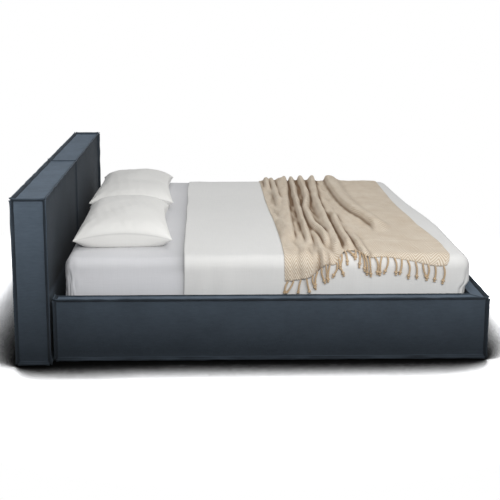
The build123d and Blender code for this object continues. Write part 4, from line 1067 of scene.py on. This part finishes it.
def hem_flat_y(x):
    """Flat distance across the bed at which the near hem lies, by x: a curve through the hem's places."""
    left, right = ([(px, -COVER_BLOCK.flat_y(z)) for px, z in part] for part in (HEM_SIDE, HEM_SIDE_RIGHT))
    return curve_through([*left, *HEM_TOP, *right], x)


def throw_points(u, v):
    """The throw's lower face at shares u across it and v from the far hem to the near one.

    Each row runs between the two side edges' courses, each column from the far hang to the near hem's course.
    The flat place is wrapped over the cover's block and lifted along the normal by the cover's relief and the
    folds. With the points come their flat x and y and their lift.
    """
    first = COVER_BLOCK.flat_y(FAR_HANG)
    y = first + v * (-0.95 - first)
    for _ in range(4):
        x = curve_through(THROW_LEFT, y) * (1 - u) + curve_through(THROW_RIGHT, y) * u
        y = first + v * (hem_flat_y(x) - first)
    scale = bpy.context.scene.bed_sizes.fold_height / FOLD_MEASURE
    folds = FOLD_LIMIT * np.tanh(scale * sum(fold.lift(x, y) for fold in THROW_FOLDS) / FOLD_LIMIT)
    small = 0.0030 * ripples(x * 2.2, y * 0.5, 41, 0.11) * smooth_step(0.62 - x, -0.1, 0.2)
    small += 0.0012 * ripples(x, y, 42, 0.12)
    from_edge = np.minimum(u, 1 - u)
    lift = THROW_CLEAR + cover_relief(x, y) + 0.001 * smooth_step(from_edge, 0, 0.03)
    lift += np.maximum(folds + small, -0.0012) * smooth_step(from_edge, 0, 0.02)
    points, normal = COVER_BLOCK.wrap(x, y)
    return points + normal * lift[..., None], x, y, lift


def walked(points, axis):
    """Distance walked along one axis of a grid of points, from zero at its start."""
    steps = np.linalg.norm(np.diff(points, axis=axis), axis=-1)
    return np.cumsum(np.insert(steps, 0, 0, axis=axis), axis)


def hollow_of(height, reach=9):
    """How far each point lies in a hollow, from 0 to 1: its depth under the mean of its row's neighbours."""
    width, full_depth = 2 * reach + 1, 0.011
    widened = np.pad(height, ((reach, reach), (0, 0)), mode="edge")
    total = np.cumsum(np.concatenate([np.zeros((1, widened.shape[1])), widened]), 0)
    mean = (total[width:] - total[:-width]) / width
    return np.clip((mean - height) / full_depth, 0, 1) ** 1.3


class BED_OT_throw(bpy.types.Operator):
    """The throw across the bed, gathered in folds towards its left"""

    bl_idname = "bed.throw"
    bl_label = "Make the throw"

    def execute(self, context):
        sizes, colours = context.scene.bed_sizes, context.scene.bed_colours
        yarns = colours.throw_dark[:], colours.throw_light[:]
        cloth = herringbone("throw_herringbone", *yarns, sizes.rib, sizes.rib_column, sizes.border)
        u, v = np.meshgrid(np.linspace(0, 1, 261), np.linspace(0, 1, 221), indexing="ij")
        points, _, _, lift = throw_points(u, v)
        points = foot_shape(points)
        across = np.broadcast_to(walked(points, 0).mean(1, keepdims=True), u.shape)
        along = walked(points, 1)
        coords = np.stack([across, along[:, -1:] - along], -1)
        piece = grid_piece("throw_cloth", points, coords, body=LIFT_BODY, material=cloth)
        # The hollow mark gives the throw's painted shade in its fold valleys.
        mark_points(piece, "hollow", hollow_of(lift))
        modify(piece, "SOLIDIFY", thickness=THROW_THICKNESS, offset=1)
        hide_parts("throw")
        return {"FINISHED"}


def tassel_shape(line, normal, radius, turns):
    """A two-ply cord along a line, with a knot near its end and a frayed tip.

    The section is a circle whose radius swells twice a turn, and the swelling winds along the cord. Radius
    along the cord: a narrow start, an even cord, a round knot at four fifths, then a flared tuft.
    """
    s = np.linspace(0, 1, len(line))
    profile = 0.9 + 0.95 * np.exp(-(((s - 0.79) / 0.045) ** 2)) + 0.35 * smooth_step(s, 0.86, 0.97)
    profile *= smooth_step(s, -0.05, 0.03) * (1 - 0.75 * smooth_step(s, 0.965, 1.0))
    tangent = np.gradient(line, axis=0)
    tangent /= np.linalg.norm(tangent, axis=1, keepdims=True)
    side = np.cross(tangent, normal)
    side /= np.linalg.norm(side, axis=1, keepdims=True)
    up = np.cross(side, tangent)
    angle = np.linspace(0, 2 * np.pi, 10, endpoint=False)
    lobes = 0.78 + 0.30 * np.cos(angle - turns * s[:, None] * 2 * np.pi) ** 2
    around = np.cos(angle)[:, None] * side[:, None] + np.sin(angle)[:, None] * up[:, None]
    points = line[:, None] + (radius * profile[:, None] * lobes)[..., None] * around
    return points, np.stack(np.meshgrid(np.linspace(0, 0.02, len(angle) + 1), s * 0.075), -1)


class BED_OT_tassels(bpy.types.Operator):
    """Knotted tassels along both hems of the throw"""

    bl_idname = "bed.tassels"
    bl_label = "Make the tassels"

    def execute(self, context):
        sizes, colours = context.scene.bed_sizes, context.scene.bed_colours
        yarn = twisted_yarn("tassel_yarn", colours.tassel_dark[:], colours.tassel_light[:])
        draw = np.random.default_rng(SEED + 60)
        share = np.linspace(0, 1, 400)
        s = np.linspace(0, 1, 40)
        grids = []
        for hem, way in ((1.0, -1), (0.0, 1)):
            run = walked(throw_points(share, np.full_like(share, hem))[0], 0)
            stops = (np.arange(sizes.tassels) + 0.5) / sizes.tassels
            stops += draw.uniform(-0.006, 0.006, sizes.tassels)
            for u in np.interp(stops, run / run[-1], share):
                _, x, y, lift = throw_points(np.array([u]), np.array([hem]))
                length = sizes.tassel_length * draw.uniform(0.88, 1.1)
                sway, curl = draw.uniform(-0.22, 0.22), draw.uniform(-0.007, 0.007)
                if way < 0 and u < CORNER_SHARE:
                    sway -= CORNER_SWAY
                flat = x + sway * length * s + curl * np.sin(s * np.pi * 1.5), y + way * length * s
                line, normal = COVER_BLOCK.wrap(*flat)
                off = TASSEL_CLEAR + (lift - THROW_CLEAR) * (1 - s) ** 1.6 + TASSEL_ARCH * np.sin(s * np.pi)
                line = foot_shape(line + normal * (off + cover_relief(*flat))[:, None])
                line[:, 2] = np.maximum(line[:, 2], RAIL_HIGH.z + TASSEL_OFF_RAIL)
                turns = TASSEL_TURNS + draw.uniform(-0.5, 0.5)
                shape, coords = tassel_shape(line, normal, TASSEL_RADIUS, turns)
                grids.append((shape, True, coords))
        piece = make_piece("throw_fringe", *join_grids(grids), LIFT_BODY, yarn)
        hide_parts("throw_tassels")
        return {"FINISHED"}


# Small fasteners

# A head's profile: radius and height in shares of its own. The rows of the recess have six lobes
HEAD_PROFILE = (
    (1.0, 0.0), (1.0, 0.45), (0.93, 0.74), (0.72, 0.95), (0.52, 1.0), (0.40, 0.98), (0.38, 0.45), (0.0, 0.40)
)
RECESS_ROWS = slice(5, 7)
# Radius and height of the heads in floor, base plates and brackets
FLOOR_HEAD = (0.0045, 0.0016)
PLATE_HEAD = (0.0085, 0.0024)
BRACKET_HEAD = (0.0075, 0.004)
# Where the brackets' heads sit: at the side boards' inner faces, and by (x, y) at the foot board's
SIDE_BRACKET_Y = 0.907
FOOT_BRACKET = (1.077, 0.872)


def screw_head(place, axis, radius, height):
    """A domed head with a six-lobed recess: a grid of rings whose height falls inside the recess."""
    axis = np.asarray(axis, float)
    first = np.cross(axis, (0.0, 0.0, 1.0) if abs(axis[2]) < 0.9 else (1.0, 0.0, 0.0))
    first /= np.linalg.norm(first)
    second = np.cross(axis, first)
    angle = np.linspace(0, 2 * np.pi, 18, endpoint=False)
    ring, rise = np.array(HEAD_PROFILE).T
    lobes = np.ones((len(ring), len(angle)))
    lobes[RECESS_ROWS] += 0.14 * np.cos(6 * angle)
    around = np.cos(angle)[:, None] * first + np.sin(angle)[:, None] * second
    points = (radius * ring[:, None] * lobes)[..., None] * around + (height * rise)[:, None, None] * axis
    return np.asarray(place) + points, True, np.zeros((len(ring), len(angle) + 1, 2))


class BED_OT_fasteners(bpy.types.Operator):
    """Screws of the storage floor, base plates and brackets"""

    bl_idname = "bed.fasteners"
    bl_label = "Make the small fasteners"

    def execute(self, context):
        zinc = metal("zinc_screws", (0.55, 0.56, 0.58), BARE, 0.32, 160.0, 0.0002)
        floor_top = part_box("floor_panel_head_left")[1].z
        plate_face = abs(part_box("lift_base_plate_left")[1].y)
        floor = [
            ((x, y, floor_top), (0, 0, 1), *FLOOR_HEAD)
            for x in (-0.93, -0.60, -0.27, 0.02, 0.07, 0.40, 0.73, 1.05)
            for y in (-0.900, -0.60, -0.30, -0.014, 0.014, 0.30, 0.60, 0.900)
            if abs(x - 0.046) < 0.05 or abs(abs(y) - 0.45) > 0.4
        ]
        plate = []
        for side in (-1, 1):
            inward = (0, -side, 0)
            for x, z in ((-0.800, 0.083), (-0.590, 0.108), (-0.420, 0.108), (-0.140, 0.106)):
                plate.append(((x, side * plate_face, z), inward, *PLATE_HEAD))
            for z in (0.085, 0.145, 0.205):
                plate.append(((-0.925, side * SIDE_BRACKET_Y, z), inward, *BRACKET_HEAD))
            for z in (0.080, 0.120):
                plate.append(((1.040, side * SIDE_BRACKET_Y, z), inward, *BRACKET_HEAD))
                plate.append(((FOOT_BRACKET[0], side * FOOT_BRACKET[1], z), (-1, 0, 0), *BRACKET_HEAD))
        for name, heads in (("floor_screws", floor), ("bracket_and_plate_screws", plate)):
            grids = [screw_head(*head) for head in heads]
            make_piece(name, *join_grids(grids), BASE_BODY, zinc)
        return {"FINISHED"}


# Finishes of the rigid pieces


class BED_OT_finishes(bpy.types.Operator):
    """Finishes of every rigid piece that shows as it was loaded"""

    bl_idname = "bed.finishes"
    bl_label = "Finish the rigid pieces"

    def execute(self, context):
        pine = (0.60, 0.43, 0.25)
        along_x, along_y = timber("pine_along", pine, "X"), timber("pine_across", pine, "Y")
        finishes = {
            "beech": timber("beech_slats", (0.66, 0.46, 0.28), "Y", roughness=0.34, ring=40.0, contrast=0.16),
            "hardboard": fibreboard("brown_hardboard", (0.20, 0.125, 0.075)),
            "grey_steel": metal("grey_powder_coat", (0.13, 0.135, 0.145), COATED, 0.48, 650.0, 0.0003),
            "zinc_steel": metal("zinc_plate", (0.58, 0.59, 0.61), BARE, 0.34, 120.0, 0.0002),
            "strut_black": metal("strut_enamel", (0.018, 0.018, 0.020), COATED, 0.24, 300.0, 0.0001),
            "strut_chrome": metal("strut_rod_chrome", (0.78, 0.78, 0.80), BARE, 0.08, 400.0, 0.00005, "X"),
            "cap_plastic": moulded("slat_cap_plastic", (0.030, 0.031, 0.034), 0.5),
            "glide_plastic": moulded("glide_plastic_black", (0.022, 0.022, 0.024), 0.45),
            "stop_rubber": moulded("stop_rubber_black", (0.02, 0.02, 0.02), 0.8),
            "webbing": webbing("pull_strap_webbing", (0.035, 0.036, 0.040)),
        }
        across = ("foot_ledger", "foot_rail_core", "headboard_core_left", "headboard_core_right")
        slots = {s["node"]: s["material_slot"] for s in frame["record"]["subparts"]}
        for name, node in frame["nodes"].items():
            if node.hide_render:
                continue
            slot = slots[name]
            material = (along_y if name in across else along_x) if slot == "pine" else finishes[slot]
            node.data.materials.clear()
            node.data.materials.append(material)
        return {"FINISHED"}


# Stage

# Half length and half width of the floor's part that keeps its shadow, and where it runs into plain white
SHADOW_REACH = (1.9, 1.75)
WHITE_FROM, WHITE_AT = 0.92, 1.25
# Each lamp: its name, its place, the place it faces, its width, its height and its power
LAMPS = (
    ("top_softbox", (0.4, 0.2, 3.8), (0.1, 0.0, 0.3), 3.6, 2.4, 44.0),
    ("front_softbox", (0.7, -3.6, 2.4), (0.0, -0.4, 0.4), 3.6, 1.4, 92.0),
)
# The camera: its focal length and picture width in pixels, its shifts, its place and its angles in degrees
FOCAL_PIXELS, PICTURE_WIDTH = 922.7, 500.0
SENSOR_WIDTH = 36.0
CAMERA_SHIFT = (0.04, -0.2)
CAMERA_PLACE = (-0.194, -5.313, 1.799)
CAMERA_ANGLES = (90.0 - 9.69, 0.0, -1.02)


def seen_directly(tree):
    """1 for camera, mirror and see-through rays, 0 for light that spreads."""
    kinds = ("Camera", "Glossy", "Transmission")
    camera, mirror, through = (Value(tree, "ShaderNodeLightPath", output=f"Is {kind} Ray") for kind in kinds)
    return camera.larger(mirror.larger(through))


def studio_floor_paint():
    """White floor that keeps the lamps' shadow and a painted shadow close to the bed, and runs into plain white
    away from it.
    """
    material = bpy.data.materials.new("studio_floor_paint")
    material.use_nodes = True
    tree = material.node_tree
    tree.nodes.clear()
    seen = seen_directly(tree)
    # Painted shadow: the floor's colour darkens by ambient occlusion near the bed.
    openness = Value(tree, "ShaderNodeAmbientOcclusion", {"Distance": 0.60}, "AO", samples=16)
    shade = openness.ramp(0.50, 0.90).math("POWER", 4.4)
    tone = seen.mix((0.30, 0.30, 0.31), shade.mix((0.004, 0.004, 0.004), (6.0, 6.0, 6.0)))
    diffuse = Value(tree, "ShaderNodeBsdfDiffuse", {"Color": tone})
    white = Value(tree, "ShaderNodeEmission", {"Strength": 1.0})
    place = place_of(tree, (1 / SHADOW_REACH[0], 1 / SHADOW_REACH[1], 0))
    away = Value(tree, "ShaderNodeVectorMath", {0: place}, "Value", operation="LENGTH")
    far = away.ramp(WHITE_FROM, WHITE_AT) * seen
    surface = Value(tree, "ShaderNodeMixShader", {0: far, 1: diffuse, 2: white})
    add_node(tree, "ShaderNodeOutputMaterial", {"Surface": surface})
    return material


class BED_OT_stage(bpy.types.Operator):
    """Pale floor, white surroundings, soft lamps and the camera"""

    bl_idname = "bed.stage"
    bl_label = "Set the stage"

    def execute(self, context):
        scene = context.scene
        half = 30.0
        floor_grid = np.array([[(-half, -half, 0), (half, -half, 0)], [(-half, half, 0), (half, half, 0)]])
        grid_piece("studio_floor", floor_grid, material=studio_floor_paint())

        scene.world = bpy.data.worlds.new("studio_world")
        scene.world.use_nodes = True
        tree = scene.world.node_tree
        tree.nodes.clear()
        tone = seen_directly(tree).mix((0.28, 0.285, 0.295), (1.0, 1.0, 1.0))
        light = Value(tree, "ShaderNodeBackground", {"Color": tone, "Strength": 1.0})
        add_node(tree, "ShaderNodeOutputWorld", {"Surface": light})

        for name, place, aim, width, height, power in LAMPS:
            lamp = bpy.data.lights.new(name, "AREA")
            lamp.shape = "RECTANGLE"
            lamp.size, lamp.size_y = width, height
            lamp.energy = power
            holder = bpy.data.objects.new(name, lamp)
            holder.location = place
            holder.rotation_euler = (Vector(aim) - Vector(place)).to_track_quat("-Z", "Y").to_euler()
            scene.collection.objects.link(holder)

        lens = bpy.data.cameras.new("photo_camera")
        lens.sensor_width = SENSOR_WIDTH
        lens.lens = FOCAL_PIXELS / PICTURE_WIDTH * SENSOR_WIDTH
        lens.shift_x, lens.shift_y = CAMERA_SHIFT
        lens.clip_end = 200.0
        camera = bpy.data.objects.new("photo_camera", lens)
        camera.location = CAMERA_PLACE
        camera.rotation_euler = np.radians(CAMERA_ANGLES)
        scene.collection.objects.link(camera)
        scene.camera = camera
        scene.view_settings.view_transform = "Standard"
        return {"FINISHED"}


STEPS = (
    BED_OT_upholstery, BED_OT_mattress, BED_OT_cover, BED_OT_pillows, BED_OT_throw, BED_OT_tassels,
    BED_OT_fasteners, BED_OT_finishes, BED_OT_stage,
)


class BED_PT_panel(bpy.types.Panel):
    """Lists the bed's sizes, colours and pieces in the sidebar"""

    bl_idname = "BED_PT_panel"
    bl_label = "Lift-up storage bed"
    bl_space_type = "VIEW_3D"
    bl_region_type = "UI"
    bl_category = "Bed"

    def draw(self, context):
        for group in (context.scene.bed_sizes, context.scene.bed_colours):
            for key in group.__annotations__:
                self.layout.prop(group, key)
        for step in STEPS:
            self.layout.operator(step.bl_idname)


CLASSES = (BedColours, BedSizes, *STEPS, BED_PT_panel)


def register():
    """Makes the classes known and hangs both property groups on the scene."""
    for cls in CLASSES:
        bpy.utils.register_class(cls)
    bpy.types.Scene.bed_colours = PointerProperty(type=BedColours)
    bpy.types.Scene.bed_sizes = PointerProperty(type=BedSizes)


def unregister():
    """Takes away what register added, last first."""
    del bpy.types.Scene.bed_colours
    del bpy.types.Scene.bed_sizes
    for cls in reversed(CLASSES):
        bpy.utils.unregister_class(cls)


def main():
    """Makes every piece in order."""
    register()
    for step in STEPS:
        group, name = step.bl_idname.split(".")
        getattr(getattr(bpy.ops, group), name)()


if __name__ == "__main__":
    main()
